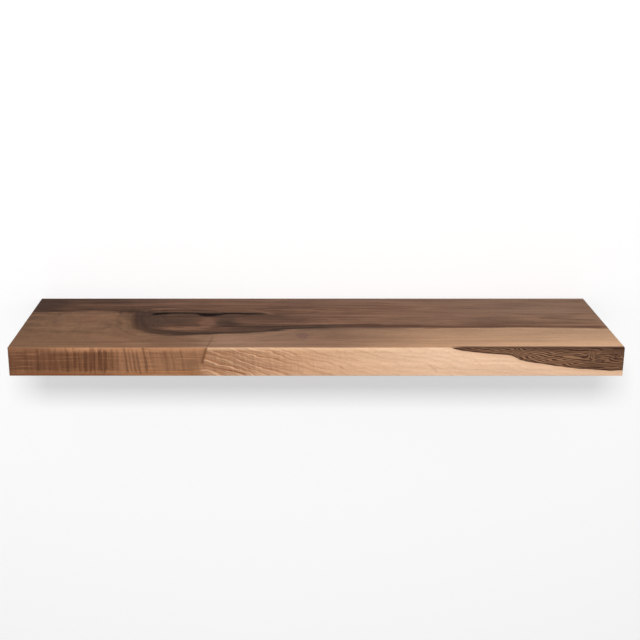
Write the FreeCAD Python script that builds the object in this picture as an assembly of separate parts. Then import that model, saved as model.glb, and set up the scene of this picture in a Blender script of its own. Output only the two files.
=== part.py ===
import FreeCAD
import Part

import math
import os

# A floating wall shelf: one solid walnut board that hides its own bracket.
# A flat steel rail is screwed to the wall. Round rods stand out of the rail, and the board,
# grooved and bored from behind, is pushed back over them until it meets the wall.
# Two grub screws, in brass inserts in the board's underside, then lock it on the outer rods.
#
# Frame: millimetres. X runs along the shelf, -Y is the front and +Z is up.
# The origin is on the wall plane, in the middle of the rail, on the axis of the centre rod.

# ---- the board -------------------------------------------------------------------------
BOARD_LENGTH = 900.0
BOARD_DEPTH = 250.0
BOARD_THICKNESS = 44.0
BOARD_ARRIS = 0.7                 # the fine bevel that takes the sharpness off every edge

# ---- the wall rail, a flat steel bar ---------------------------------------------------
RAIL_END_INSET = 60.0             # from each end of the board
RAIL_HEIGHT = 25.0
RAIL_THICKNESS = 6.0
RAIL_CORNER_RADIUS = 5.0
RAIL_SIDE_CLEARANCE = 0.5         # between the rail's edges and the groove's walls
RAIL_FRONT_CLEARANCE = 0.5        # between the rail's front and the groove's floor

# ---- the rods --------------------------------------------------------------------------
ROD_DIAMETER = 14.0
ROD_TIP_TO_BOARD_FRONT = 94.0     # the depth of wood that the rods don't reach
ROD_TIP_CHAMFER = 1.5
OUTER_ROD_INSET = 90.0            # from each end of the rail; the third rod is in the middle
ROD_BORE_CLEARANCE = 0.1          # on the radius
ROD_BORE_SPARE_DEPTH = 4.0        # beyond the rod's tip
DRILL_POINT_ANGLE = 118.0         # of the bores' conical ends, in degrees

# ---- the countersunk machine screws that hold the rods ---------------------------------
ROD_SCREW_DIAMETER = 8.0
ROD_SCREW_HEAD_DIAMETER = 15.8
ROD_SCREW_LENGTH = 20.0
ROD_SCREW_SOCKET_FLATS = 5.0      # across the flats of its hexagon
ROD_SCREW_SOCKET_DEPTH = 2.8
ROD_TAPPED_SPARE_DEPTH = 3.0

# ---- the countersunk wall screws -------------------------------------------------------
WALL_SCREW_DIAMETER = 6.0
WALL_SCREW_HEAD_DIAMETER = 12.0
WALL_SCREW_PAST_PLUG = 1.7        # how far its point comes out of the plug
WALL_SCREW_POINT_LENGTH = 7.0
OUTER_WALL_SCREW_INSET = 30.0     # from each end of the rail
INNER_WALL_SCREW_OFFSET = 120.0   # to each side of the middle
CROSS_RECESS_SPAN = 6.6           # of the cross recess, at the head's top
CROSS_RECESS_WIDTH = 1.6
CROSS_RECESS_DEPTH = 2.8
CROSS_RECESS_TAPER = 0.5          # what is left of its span and width at the bottom

# ---- the nylon wall plugs --------------------------------------------------------------
PLUG_DIAMETER = 8.0
PLUG_LENGTH = 50.0
PLUG_BELOW_WALL = 2.5             # how far each plug is driven below the wall's surface
PLUG_WHOLE_NECK = 27.0            # from its mouth to the slits that part its far end
PLUG_SLIT_WIDTH = 0.9

# ---- the grub screws that lock the board, and their inserts ----------------------------
LOCK_SCREW_DISTANCE = 92.0        # out from the wall
LOCK_SCREW_DIAMETER = 6.0
LOCK_SCREW_RECESS = 2.95          # of its foot above the board's underside, room to undo it
LOCK_SCREW_POINT_CHAMFER = 1.2
LOCK_SCREW_SOCKET_FLATS = 3.0
LOCK_SCREW_SOCKET_DEPTH = 4.0
LOCK_SCREW_ROD_GAP = 0.05         # at rest, with the point up against the rod
INSERT_DIAMETER = 10.0
INSERT_RECESS = 0.4               # below the board's underside
INSERT_BELOW_BORE = 2.35          # wood left between the insert and the rod's bore
INSERT_SLOT_WIDTH = 1.4
INSERT_SLOT_DEPTH = 1.6

# ---- small fits, all on the radius -----------------------------------------------------
SCREW_HOLE_CLEARANCE = 0.25       # of a shank in its through hole
THREAD_CLEARANCE = 0.05           # of a screw in its thread, and of an insert in the wood
HEAD_RECESS = 0.2                 # of a countersunk head below the rail's face
HEAD_SEAT_CLEARANCE = 0.1         # of a countersunk head in its seat

# ---- places that follow from the sizes above -------------------------------------------
RAIL_LENGTH = BOARD_LENGTH - 2 * RAIL_END_INSET
ROD_RADIUS = ROD_DIAMETER / 2
ROD_BORE_RADIUS = ROD_RADIUS + ROD_BORE_CLEARANCE
ROD_REACH = BOARD_DEPTH - ROD_TIP_TO_BOARD_FRONT
OUTER_ROD_X = RAIL_LENGTH / 2 - OUTER_ROD_INSET
OUTER_WALL_SCREW_X = RAIL_LENGTH / 2 - OUTER_WALL_SCREW_INSET
WALL_SCREW_TOP = RAIL_THICKNESS - HEAD_RECESS
WALL_SCREW_LENGTH = WALL_SCREW_TOP + PLUG_BELOW_WALL + PLUG_LENGTH + WALL_SCREW_PAST_PLUG
BOARD_UNDERSIDE = -BOARD_THICKNESS / 2
INSERT_TOP = -ROD_BORE_RADIUS - INSERT_BELOW_BORE
INSERT_MOUTH = BOARD_UNDERSIDE + INSERT_RECESS
INSERT_LENGTH = INSERT_TOP - INSERT_MOUTH
LOCK_SCREW_POINT = -ROD_RADIUS - LOCK_SCREW_ROD_GAP
LOCK_SCREW_FOOT = BOARD_UNDERSIDE + LOCK_SCREW_RECESS
LOCK_SCREW_LENGTH = LOCK_SCREW_POINT - LOCK_SCREW_FOOT

ROD_PLACES = {
    "left": -OUTER_ROD_X,
    "centre": 0.0,
    "right": OUTER_ROD_X,
}
WALL_SCREW_PLACES = {
    "outer_left": -OUTER_WALL_SCREW_X,
    "inner_left": -INNER_WALL_SCREW_OFFSET,
    "inner_right": INNER_WALL_SCREW_OFFSET,
    "outer_right": OUTER_WALL_SCREW_X,
}
LOCK_PLACES = {
    "left": -OUTER_ROD_X,
    "right": OUTER_ROD_X,
}

HEXAGON_SIDES = 6

FORWARD = FreeCAD.Vector(0, -1, 0)
BACKWARD = FreeCAD.Vector(0, 1, 0)
UP = FreeCAD.Vector(0, 0, 1)
DOWN = FreeCAD.Vector(0, 0, -1)


def point(x, y, z):
    return FreeCAD.Vector(x, y, z)


def round_bar(radius, length, start, direction):
    return Part.makeCylinder(radius, length, start, direction)


def taper(start_radius, end_radius, length, start, direction):
    return Part.makeCone(start_radius, end_radius, length, start, direction)


def rounded_bar(length, height, corner_radius, depth):
    """A flat bar on the wall plane, standing out to the front by depth, with rounded corners."""
    blank = Part.makeBox(length, depth, height, point(-length / 2, -depth, -height / 2))
    corners = [
        edge
        for edge in blank.Edges
        if abs(edge.tangentAt(edge.FirstParameter).y) > 0.5
    ]
    return blank.makeFillet(corner_radius, corners)


def hexagon_bar(across_flats, length, start, direction):
    """A six-sided prism, for a hexagon socket."""
    corner_radius = across_flats / 2 / math.cos(math.pi / HEXAGON_SIDES)
    corners = []
    for corner in range(HEXAGON_SIDES + 1):
        angle = 2 * math.pi * corner / HEXAGON_SIDES
        corners.append(corner_radius * point(math.cos(angle), math.sin(angle), 0))
    prism = Part.Face(Part.makePolygon(corners)).extrude(point(0, 0, length))
    prism.Placement = FreeCAD.Placement(start, FreeCAD.Rotation(UP, direction))
    return prism


def countersunk_screw(diameter, head_diameter, length, start, direction):
    """A plain screw with a 90 degree countersunk head; its flat top is at start."""
    radius = diameter / 2
    head_radius = head_diameter / 2
    head_height = head_radius - radius
    head = taper(head_radius, radius, head_height, start, direction)
    shank = round_bar(radius, length, start, direction)
    return head.fuse(shank)


def countersunk_hole(diameter, head_diameter, thickness, face, direction):
    """The cutter for a screw whose head lies HEAD_RECESS below a face of the rail."""
    hole_radius = diameter / 2 + SCREW_HOLE_CLEARANCE
    mouth_radius = head_diameter / 2 + HEAD_RECESS + HEAD_SEAT_CLEARANCE
    hole = round_bar(hole_radius, thickness, face, direction)
    mouth = taper(mouth_radius, hole_radius, mouth_radius - hole_radius, face, direction)
    return hole.fuse(mouth)


# ---- pieces on the wall ----------------------------------------------------------------


def wall_rail():
    rail = rounded_bar(RAIL_LENGTH, RAIL_HEIGHT, RAIL_CORNER_RADIUS, RAIL_THICKNESS)
    cutters = [
        countersunk_hole(
            ROD_SCREW_DIAMETER,
            ROD_SCREW_HEAD_DIAMETER,
            RAIL_THICKNESS,
            point(x, 0, 0),
            FORWARD,
        )
        for x in ROD_PLACES.values()
    ]
    cutters += [
        countersunk_hole(
            WALL_SCREW_DIAMETER,
            WALL_SCREW_HEAD_DIAMETER,
            RAIL_THICKNESS,
            point(x, -RAIL_THICKNESS, 0),
            BACKWARD,
        )
        for x in WALL_SCREW_PLACES.values()
    ]
    return rail.cut(cutters)


def rod(x):
    """A steel rod that butts on the rail's front, tapped for its screw."""
    root = point(x, -RAIL_THICKNESS, 0)
    straight_length = ROD_REACH - RAIL_THICKNESS - ROD_TIP_CHAMFER
    shaft = round_bar(ROD_RADIUS, straight_length, root, FORWARD)
    tip = taper(
        ROD_RADIUS,
        ROD_RADIUS - ROD_TIP_CHAMFER,
        ROD_TIP_CHAMFER,
        root + FORWARD * straight_length,
        FORWARD,
    )
    screw_end = HEAD_RECESS + ROD_SCREW_LENGTH
    tapped_hole = round_bar(
        ROD_SCREW_DIAMETER / 2 + THREAD_CLEARANCE,
        screw_end - RAIL_THICKNESS + ROD_TAPPED_SPARE_DEPTH,
        root,
        FORWARD,
    )
    return shaft.fuse(tip).cut(tapped_hole)


def rod_screw(x):
    """A countersunk machine screw, driven from behind the rail into the rod."""
    top = point(x, -HEAD_RECESS, 0)
    screw = countersunk_screw(
        ROD_SCREW_DIAMETER, ROD_SCREW_HEAD_DIAMETER, ROD_SCREW_LENGTH, top, FORWARD
    )
    socket = hexagon_bar(ROD_SCREW_SOCKET_FLATS, ROD_SCREW_SOCKET_DEPTH, top, FORWARD)
    return screw.cut(socket)


def recess_wing(top, span_x, span_z):
    """A slot that goes in from a head's top along +Y and tapers on all four sides."""
    x, z = span_x / 2, span_z / 2
    deep_x, deep_z = x * CROSS_RECESS_TAPER, z * CROSS_RECESS_TAPER
    wing = Part.makeWedge(
        -x, 0, -z, -deep_z, -deep_x, x, CROSS_RECESS_DEPTH, z, deep_z, deep_x
    )
    return wing.translated(top)


def cross_recess(top):
    level_wing = recess_wing(top, CROSS_RECESS_SPAN, CROSS_RECESS_WIDTH)
    upright_wing = recess_wing(top, CROSS_RECESS_WIDTH, CROSS_RECESS_SPAN)
    return level_wing.fuse(upright_wing)


def wall_screw(x):
    """A countersunk wood screw through the rail, into its plug in the wall."""
    top = point(x, -WALL_SCREW_TOP, 0)
    screw = countersunk_screw(
        WALL_SCREW_DIAMETER,
        WALL_SCREW_HEAD_DIAMETER,
        WALL_SCREW_LENGTH - WALL_SCREW_POINT_LENGTH,
        top,
        BACKWARD,
    )
    point_start = top + BACKWARD * (WALL_SCREW_LENGTH - WALL_SCREW_POINT_LENGTH)
    screw_point = taper(
        WALL_SCREW_DIAMETER / 2, 0, WALL_SCREW_POINT_LENGTH, point_start, BACKWARD
    )
    return screw.fuse(screw_point).cut(cross_recess(top))


def plug_slit(mouth, width_x, width_z):
    """A slit across a plug, open at its far end, so that the screw can spread it."""
    return Part.makeBox(
        width_x,
        PLUG_LENGTH - PLUG_WHOLE_NECK,
        width_z,
        mouth + point(-width_x / 2, PLUG_WHOLE_NECK, -width_z / 2),
    )


def wall_plug(x):
    """A nylon plug, set in a hole drilled in the wall, its far end slit into four."""
    mouth = point(x, PLUG_BELOW_WALL, 0)
    plug = round_bar(PLUG_DIAMETER / 2, PLUG_LENGTH, mouth, BACKWARD)
    bore = round_bar(
        WALL_SCREW_DIAMETER / 2 + THREAD_CLEARANCE, PLUG_LENGTH, mouth, BACKWARD
    )
    upright_slit = plug_slit(mouth, PLUG_SLIT_WIDTH, PLUG_DIAMETER)
    level_slit = plug_slit(mouth, PLUG_DIAMETER, PLUG_SLIT_WIDTH)
    return plug.cut([bore, upright_slit, level_slit])


# ---- pieces that slide on and off with the board ---------------------------------------


def rod_bore(x):
    """A blind hole, drilled from behind, that takes a rod."""
    depth = ROD_REACH + ROD_BORE_SPARE_DEPTH
    straight = round_bar(ROD_BORE_RADIUS, depth, point(x, 0, 0), FORWARD)
    cone_length = ROD_BORE_RADIUS / math.tan(math.radians(DRILL_POINT_ANGLE / 2))
    cone = taper(ROD_BORE_RADIUS, 0, cone_length, point(x, -depth, 0), FORWARD)
    return straight.fuse(cone)


def lock_hole(x):
    """A stepped hole up from the underside: wide for the insert, narrow up to the rod."""
    mouth = point(x, -LOCK_SCREW_DISTANCE, BOARD_UNDERSIDE)
    wide = round_bar(
        INSERT_DIAMETER / 2 + THREAD_CLEARANCE, INSERT_RECESS + INSERT_LENGTH, mouth, UP
    )
    narrow = round_bar(
        LOCK_SCREW_DIAMETER / 2 + SCREW_HOLE_CLEARANCE, -BOARD_UNDERSIDE, mouth, UP
    )
    return wide.fuse(narrow)


def walnut_board():
    corner = point(-BOARD_LENGTH / 2, -BOARD_DEPTH, BOARD_UNDERSIDE)
    board = Part.makeBox(BOARD_LENGTH, BOARD_DEPTH, BOARD_THICKNESS, corner)
    board = board.makeChamfer(BOARD_ARRIS, board.Edges)
    groove = rounded_bar(
        RAIL_LENGTH + 2 * RAIL_SIDE_CLEARANCE,
        RAIL_HEIGHT + 2 * RAIL_SIDE_CLEARANCE,
        RAIL_CORNER_RADIUS + RAIL_SIDE_CLEARANCE,
        RAIL_THICKNESS + RAIL_FRONT_CLEARANCE,
    )
    cutters = [groove]
    cutters += [rod_bore(x) for x in ROD_PLACES.values()]
    cutters += [lock_hole(x) for x in LOCK_PLACES.values()]
    return board.cut(cutters)


def lock_insert(x):
    """A brass sleeve in the board's underside that carries a grub screw's thread."""
    mouth = point(x, -LOCK_SCREW_DISTANCE, INSERT_MOUTH)
    sleeve = round_bar(INSERT_DIAMETER / 2, INSERT_LENGTH, mouth, UP)
    thread_radius = LOCK_SCREW_DIAMETER / 2 + THREAD_CLEARANCE
    bore = round_bar(thread_radius, INSERT_LENGTH, mouth, UP)
    slot = Part.makeBox(
        INSERT_DIAMETER,
        INSERT_SLOT_WIDTH,
        INSERT_SLOT_DEPTH,
        mouth - point(INSERT_DIAMETER / 2, INSERT_SLOT_WIDTH / 2, 0),
    )
    return sleeve.cut([bore, slot])


def lock_screw(x):
    """A grub screw, its point up against the rod and its hexagon socket underneath."""
    top = point(x, -LOCK_SCREW_DISTANCE, LOCK_SCREW_POINT)
    radius = LOCK_SCREW_DIAMETER / 2
    screw_point = taper(
        radius - LOCK_SCREW_POINT_CHAMFER, radius, LOCK_SCREW_POINT_CHAMFER, top, DOWN
    )
    shank = round_bar(
        radius,
        LOCK_SCREW_LENGTH - LOCK_SCREW_POINT_CHAMFER,
        top + DOWN * LOCK_SCREW_POINT_CHAMFER,
        DOWN,
    )
    foot = top + DOWN * LOCK_SCREW_LENGTH
    socket = hexagon_bar(LOCK_SCREW_SOCKET_FLATS, LOCK_SCREW_SOCKET_DEPTH, foot, UP)
    return shank.fuse(screw_point).cut(socket)


# ---- all the nodes ---------------------------------------------------------------------


def make_nodes():
    nodes = {"walnut_board": walnut_board(), "wall_rail": wall_rail()}
    for side, x in ROD_PLACES.items():
        nodes[f"rod_{side}"] = rod(x)
        nodes[f"rod_screw_{side}"] = rod_screw(x)
    for side, x in WALL_SCREW_PLACES.items():
        nodes[f"wall_screw_{side}"] = wall_screw(x)
        nodes[f"wall_plug_{side}"] = wall_plug(x)
    for side, x in LOCK_PLACES.items():
        nodes[f"lock_insert_{side}"] = lock_insert(x)
        nodes[f"lock_screw_{side}"] = lock_screw(x)
    return nodes


os.makedirs("parts", exist_ok=True)
for name, shape in make_nodes().items():
    shape = shape.removeSplitter()
    if not shape.isValid() or len(shape.Solids) != 1:
        print(f"{name}: expected one valid solid, found {len(shape.Solids)}")
    shape.exportStep(f"parts/{name}.step")
    print(f"{name}: {shape.Volume / 1000:.2f} cm3")
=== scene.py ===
# %% [markdown]
# # A floating walnut shelf
# The shelf is one thick walnut board that hides its own bracket: a steel rail screwed to the wall,
# with three rods that the board slides onto. The CAD model holds every size and place. This
# notebook gives each of its pieces the surface and the fine shape of the real one, then sets it
# on a white wall in soft daylight. Every step starts with a note like this one, that says what
# the piece is, how it could be made, and why it is made this way.

# %% Load the CAD model as a fixed frame
import math

import bmesh
import bpy
from mathutils import Matrix, Vector, noise


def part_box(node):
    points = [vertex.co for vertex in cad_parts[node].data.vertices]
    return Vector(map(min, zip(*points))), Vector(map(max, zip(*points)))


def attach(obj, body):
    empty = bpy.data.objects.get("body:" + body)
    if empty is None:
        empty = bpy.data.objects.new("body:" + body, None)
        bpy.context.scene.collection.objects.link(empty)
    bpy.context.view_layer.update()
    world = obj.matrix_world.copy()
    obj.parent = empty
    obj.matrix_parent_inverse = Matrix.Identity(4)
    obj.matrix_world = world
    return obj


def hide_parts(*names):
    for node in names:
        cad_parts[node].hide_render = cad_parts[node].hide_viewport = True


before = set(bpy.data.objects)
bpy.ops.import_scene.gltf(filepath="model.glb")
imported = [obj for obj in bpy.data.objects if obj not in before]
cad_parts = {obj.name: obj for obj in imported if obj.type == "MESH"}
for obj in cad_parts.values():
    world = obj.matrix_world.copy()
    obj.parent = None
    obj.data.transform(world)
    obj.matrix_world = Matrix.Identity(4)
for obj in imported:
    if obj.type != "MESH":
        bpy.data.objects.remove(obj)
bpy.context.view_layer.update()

MM = 0.001  # Blender works in metres, and a joiner in millimetres
board_low, board_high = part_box("walnut_board")
board_size = (board_high - board_low) / MM
print("board, mm:", [round(side, 1) for side in board_size])

# %% [markdown]
# ## The camera
# The shelf is seen from a little above, nearly straight on, through a long lens, so that its edges
# stay almost parallel. A camera could be aimed with a constraint, but a tilt written as one number
# says more plainly how far it looks down. It stands a little to the left of the shelf's middle,
# and a small sideways shift of the film brings the shelf back to the middle of the picture
# without turning the camera.

# %% Camera
CAMERA_PLACE = (-0.043, -1.8391, 0.5706)  # metres, from the middle of the rail
CAMERA_TILT = math.radians(17.68)  # down from level
FILM_WIDTH, LENS = 36.0, 64.9  # mm
FILM_SHIFT = 0.0521  # to the right, as a share of the film's width

camera_data = bpy.data.cameras.new("portrait_camera")
camera_data.sensor_width = FILM_WIDTH
camera_data.lens = LENS
camera_data.shift_x = FILM_SHIFT
camera = bpy.data.objects.new("portrait_camera", camera_data)
camera.location = CAMERA_PLACE
camera.rotation_euler = (math.pi / 2 - CAMERA_TILT, 0, 0)
bpy.context.scene.collection.objects.link(camera)
bpy.context.scene.camera = camera
print("camera looks down by", round(math.degrees(CAMERA_TILT), 2), "degrees")

# %% [markdown]
# ## A short way to write materials
# Every finish here is a tree of nodes, and each tree is really a formula: take the place on the
# wood, bend it, look up some noise, and mix two colours by it. Nodes could be made and linked one
# by one, but the formula would drown in the wiring. So a Wire stands for one value on its way
# through the tree, and adding or multiplying Wires makes the Math nodes. The material itself is
# built up in three classes, each on top of the last: a Tree makes nodes and links them, a Pattern
# reads places and makes noise, and a Paint turns those into colours, relief and a finish.

# %% Wire: arithmetic that builds nodes
def linear(red, green, blue):
    """A colour as a screen gives it, 0 to 255, turned by the sRGB curve into linear light."""
    shares = [part / 255 for part in (red, green, blue)]
    return [s / 12.92 if s <= 0.04045 else ((s + 0.055) / 1.055) ** 2.4 for s in shares] + [1.0]


class Wire:
    """A value inside a material's tree; arithmetic on it adds Math nodes."""

    def __init__(self, paint, socket):
        self.paint, self.socket = paint, socket

    def __add__(self, other):
        return self.paint.math("ADD", self, other)

    def __sub__(self, other):
        return self.paint.math("SUBTRACT", self, other)

    def __rsub__(self, other):
        return self.paint.math("SUBTRACT", other, self)

    def __mul__(self, other):
        return self.paint.math("MULTIPLY", self, other)

    def __truediv__(self, other):
        return self.paint.math("DIVIDE", self, other)

    def __pow__(self, other):
        return self.paint.math("POWER", self, other)

    def __abs__(self):
        return self.paint.math("ABSOLUTE", self)

    __radd__ = __add__
    __rmul__ = __mul__


print("screen grey 128 is linear", round(linear(128, 128, 128)[0], 3))


# %% Tree: a material that makes and links its own nodes
class Tree:
    """A new material and its tree of nodes."""

    def __init__(self, name, **sockets):
        self.material = bpy.data.materials.new(name)
        self.material.use_nodes = True
        self.tree = self.material.node_tree
        self.shader = self.tree.nodes["Principled BSDF"]
        for socket, value in sockets.items():
            self.shader.inputs[socket.replace("_", " ")].default_value = value

    def node(self, kind, inputs, **settings):
        """A new node; its inputs may be Wires or plain values."""
        made = self.tree.nodes.new("ShaderNode" + kind)
        for setting, value in settings.items():
            setattr(made, setting, value)
        for socket, value in inputs.items():
            self.feed(made.inputs[socket], value)
        return made

    def feed(self, socket, value):
        if isinstance(value, Wire):
            self.tree.links.new(value.socket, socket)
        else:
            socket.default_value = value

    def wire(self, node, output):
        return Wire(self, node.outputs[output])

    def math(self, operation, *values):
        return self.wire(self.node("Math", dict(enumerate(values)), operation=operation), 0)

    def most(self, first, second):
        return self.math("MAXIMUM", first, second)

    def vector(self, x, y, z):
        return self.wire(self.node("CombineXYZ", {0: x, 1: y, 2: z}), 0)


print("Tree can:", ", ".join(name for name in vars(Tree) if not name.startswith("_")))


# %% Pattern: places on the piece, and noise there
class Pattern(Tree):
    """A material that knows where a point lies, and what noise there is."""

    def place(self):
        """The point's x, y and z on the piece, in millimetres."""
        coordinate = self.node("TexCoord", {})
        parts = self.node("SeparateXYZ", {0: self.wire(coordinate, "Object")})
        return [self.wire(parts, axis) * (1 / MM) for axis in "XYZ"]

    def facing(self):
        """Which way the surface faces, as three numbers from -1 to 1."""
        coordinate = self.node("TexCoord", {})
        parts = self.node("SeparateXYZ", {0: self.wire(coordinate, "Normal")})
        return [self.wire(parts, axis) for axis in "XYZ"]

    def noise(self, place, grain, seed=0.0, detail=2.0, roughness=0.5, bend=0.0):
        """Smooth noise from 0 to 1 whose lumps have the three sizes in grain."""
        scale = [1 / size for size in grain]
        mapped = self.node("Mapping", {"Vector": place, "Scale": scale, "Location": [seed] * 3})
        settings = {
            "Vector": self.wire(mapped, 0),
            "Scale": 1.0,
            "Detail": detail,
            "Roughness": roughness,
            "Distortion": bend,
        }
        return self.wire(self.node("TexNoise", settings), "Fac")

    def cells(self, place, grain, seed=0.0):
        """The distance to the nearest of many scattered points, with spacing as in grain."""
        scale = [1 / size for size in grain]
        mapped = self.node("Mapping", {"Vector": place, "Scale": scale, "Location": [seed] * 3})
        inputs = {"Vector": self.wire(mapped, 0), "Scale": 1.0}
        return self.wire(self.node("TexVoronoi", inputs), "Distance")

    def distance(self, place, centre, half):
        """How far place is from centre, where 1 is the surface of a ball with half-sizes half."""
        shift = [-middle / size for middle, size in zip(centre, half)]
        scale = [1 / size for size in half]
        mapped = self.node("Mapping", {"Vector": place, "Scale": scale, "Location": shift})
        length = self.node("VectorMath", {0: self.wire(mapped, 0)}, operation="LENGTH")
        return self.wire(length, "Value")


print("Pattern can:", ", ".join(name for name in vars(Pattern) if not name.startswith("_")))


# %% Paint: steps, curves, colours and the finish
class Paint(Pattern):
    """A whole material, written as a formula."""

    def step(self, value, start, end):
        """0 before start and 1 after end, with a soft rise between; end may be the lower one."""
        inputs = {"Value": value, "From Min": start, "From Max": end}
        if end < start:
            inputs.update({"From Min": end, "From Max": start, "To Min": 1.0, "To Max": 0.0})
        ramp = self.node("MapRange", inputs, interpolation_type="SMOOTHSTEP")
        return self.wire(ramp, "Result")

    def curve(self, value, points):
        """A smooth curve through the points, flat beyond both of its ends."""
        across, up = zip(*points)
        low, high = min(up), max(up)
        share = self.node(
            "MapRange", {"Value": value, "From Min": across[0], "From Max": across[-1]}
        )
        made = self.node("FloatCurve", {"Value": self.wire(share, "Result")})
        line = made.mapping.curves[0]
        for number, (x, y) in enumerate(points):
            spot = ((x - across[0]) / (across[-1] - across[0]), (y - low) / (high - low))
            if number in (0, len(points) - 1):
                line.points[-1 if number else 0].location = spot
            else:
                line.points.new(*spot)
        for handle in line.points:
            handle.handle_type = "AUTO_CLAMPED"
        made.mapping.update()
        return self.wire(made, 0) * (high - low) + low

    def colours(self, value, stops):
        """A colour that changes along value; stops are (value, (red, green, blue))."""
        first, last = stops[0][0], stops[-1][0]
        share = self.node("MapRange", {"Value": value, "From Min": first, "From Max": last})
        ramp = self.node("ValToRGB", {"Fac": self.wire(share, "Result")})
        band = ramp.color_ramp
        for number, (spot, colour) in enumerate(stops):
            share_of_way = (spot - first) / (last - first)
            if number in (0, len(stops) - 1):
                stop = band.elements[-1 if number else 0]
            else:
                stop = band.elements.new(share_of_way)
            stop.position, stop.color = share_of_way, linear(*colour)
        return self.wire(ramp, "Color")

    def mix(self, amount, first, second, blend="MIX"):
        """first where amount is 0 and second where it is 1."""
        made = self.node("Mix", {0: amount}, data_type="RGBA", blend_type=blend)
        for socket, value in ((6, first), (7, second)):
            self.feed(made.inputs[socket], value if isinstance(value, Wire) else linear(*value))
        return Wire(self, made.outputs[2])

    def shade(self, colour, amount):
        """The colour made lighter or darker: amount is 1 where it stays as it is."""
        grey = self.node("CombineColor", {0: amount, 1: amount, 2: amount})
        made = self.node("Mix", {0: 1.0, 6: colour}, data_type="RGBA", blend_type="MULTIPLY")
        self.tree.links.new(grey.outputs[0], made.inputs[7])
        return Wire(self, made.outputs[2])

    def bump(self, height, depth):
        """Relief too fine for the mesh: height 0 to 1 stands for depth millimetres."""
        made = self.node("Bump", {"Height": height, "Distance": depth * MM, "Strength": 1.0})
        self.tree.links.new(made.outputs[0], self.shader.inputs["Normal"])

    def finish(self, **sockets):
        """Sets the shader's sockets and hands over the material."""
        for socket, value in sockets.items():
            self.feed(self.shader.inputs[socket.replace("_", " ")], value)
        print(self.material.name, "has", len(self.tree.nodes), "nodes")
        return self.material


print("Paint can:", ", ".join(name for name in vars(Paint) if not name.startswith("_")))


# %% [markdown]
# ## The room
# The shelf hangs on a smooth white wall, above a pale floor. The wall has to take the shelf's
# shadow, but it may not get in the way when the shelf is looked at from behind. So it is a sheet
# with one side: its material is matt white towards the room, and clear from the back. Neither
# sheet throws light back on the wood. That keeps the wood's own colours, and the board's back,
# which all but touches the wall, doesn't sit in the dark.

# %% A flat sheet
def flat_sheet(name, corners, material):
    """A single flat face of the room, which isn't part of the shelf."""
    mesh = bpy.data.meshes.new(name)
    mesh.from_pydata(corners, [], [tuple(range(len(corners)))])
    mesh.materials.append(material)
    sheet = bpy.data.objects.new(name, mesh)
    bpy.context.scene.collection.objects.link(sheet)
    sheet.visible_diffuse = False
    sheet.visible_glossy = False
    print(name, "is set up with", len(corners), "corners")
    return sheet


# %% The wall
WALL_GAP = 0.3 * MM  # behind the board, so that the two never share a plane
FLOOR_DEPTH = 1.2  # metres below the shelf
ROOM = 6.0  # half of the room's width, in metres
WALL_HEIGHT = 3.0
WALL_GREY = 0.57  # what the wall throws back of the light on it
WALL_GLOW = 0.419  # its own even light, which keeps the shadow on it pale

wall_paint = Paint(
    "white_wall",
    Base_Color=(WALL_GREY, WALL_GREY, WALL_GREY, 1),
    Roughness=1.0,
    Specular_IOR_Level=0.0,
    Emission_Color=(1, 1, 1, 1),
    Emission_Strength=WALL_GLOW,
)
wall_paint.material.cycles.emission_sampling = "NONE"
behind = wall_paint.wire(wall_paint.node("NewGeometry", {}), "Backfacing")
clear = wall_paint.node("BsdfTransparent", {})
choose = wall_paint.node("MixShader", {0: behind})
for end, shader in ((1, wall_paint.shader), (2, clear)):
    wall_paint.tree.links.new(shader.outputs[0], choose.inputs[end])
wall_end = wall_paint.tree.nodes["Material Output"].inputs["Surface"]
wall_paint.tree.links.new(choose.outputs[0], wall_end)

wall_corners = [
    (-ROOM, WALL_GAP, -FLOOR_DEPTH),
    (ROOM, WALL_GAP, -FLOOR_DEPTH),
    (ROOM, WALL_GAP, WALL_HEIGHT),
    (-ROOM, WALL_GAP, WALL_HEIGHT),
]
wall = flat_sheet("wall", wall_corners, wall_paint.finish())
wall.visible_shadow = False

# %% The floor
floor_paint = Paint("pale_floor", Base_Color=(0.86, 0.85, 0.84, 1), Roughness=0.8)
floor_corners = [
    (-ROOM, -ROOM, -FLOOR_DEPTH),
    (ROOM, -ROOM, -FLOOR_DEPTH),
    (ROOM, ROOM, -FLOOR_DEPTH),
    (-ROOM, ROOM, -FLOOR_DEPTH),
]
flat_sheet("floor", floor_corners, floor_paint.finish())

# %% [markdown]
# ## The light
# Three soft lights, as in a studio with daylight. The sky lights everything from above
# and from the sides, and only a little from below. A wide sheet of light in front, hardly higher
# than the shelf, fills the front and the wall. A smaller window stands higher and gives the
# direction: it drops the shelf's shadow on the wall just below. One big lamp could do the work of
# both, but its shadow would be either too soft or too dark. A dim lamp low behind the wall is
# there for whoever looks at the bracket from the back.

# %% The sky
SKY_ABOVE = 0.44
SKY_BELOW = 0.3
HORIZON = 0.35  # up and down from level: the band in which the one turns into the other
BACKDROP = 0.97  # what the camera itself sees beyond the room

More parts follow.
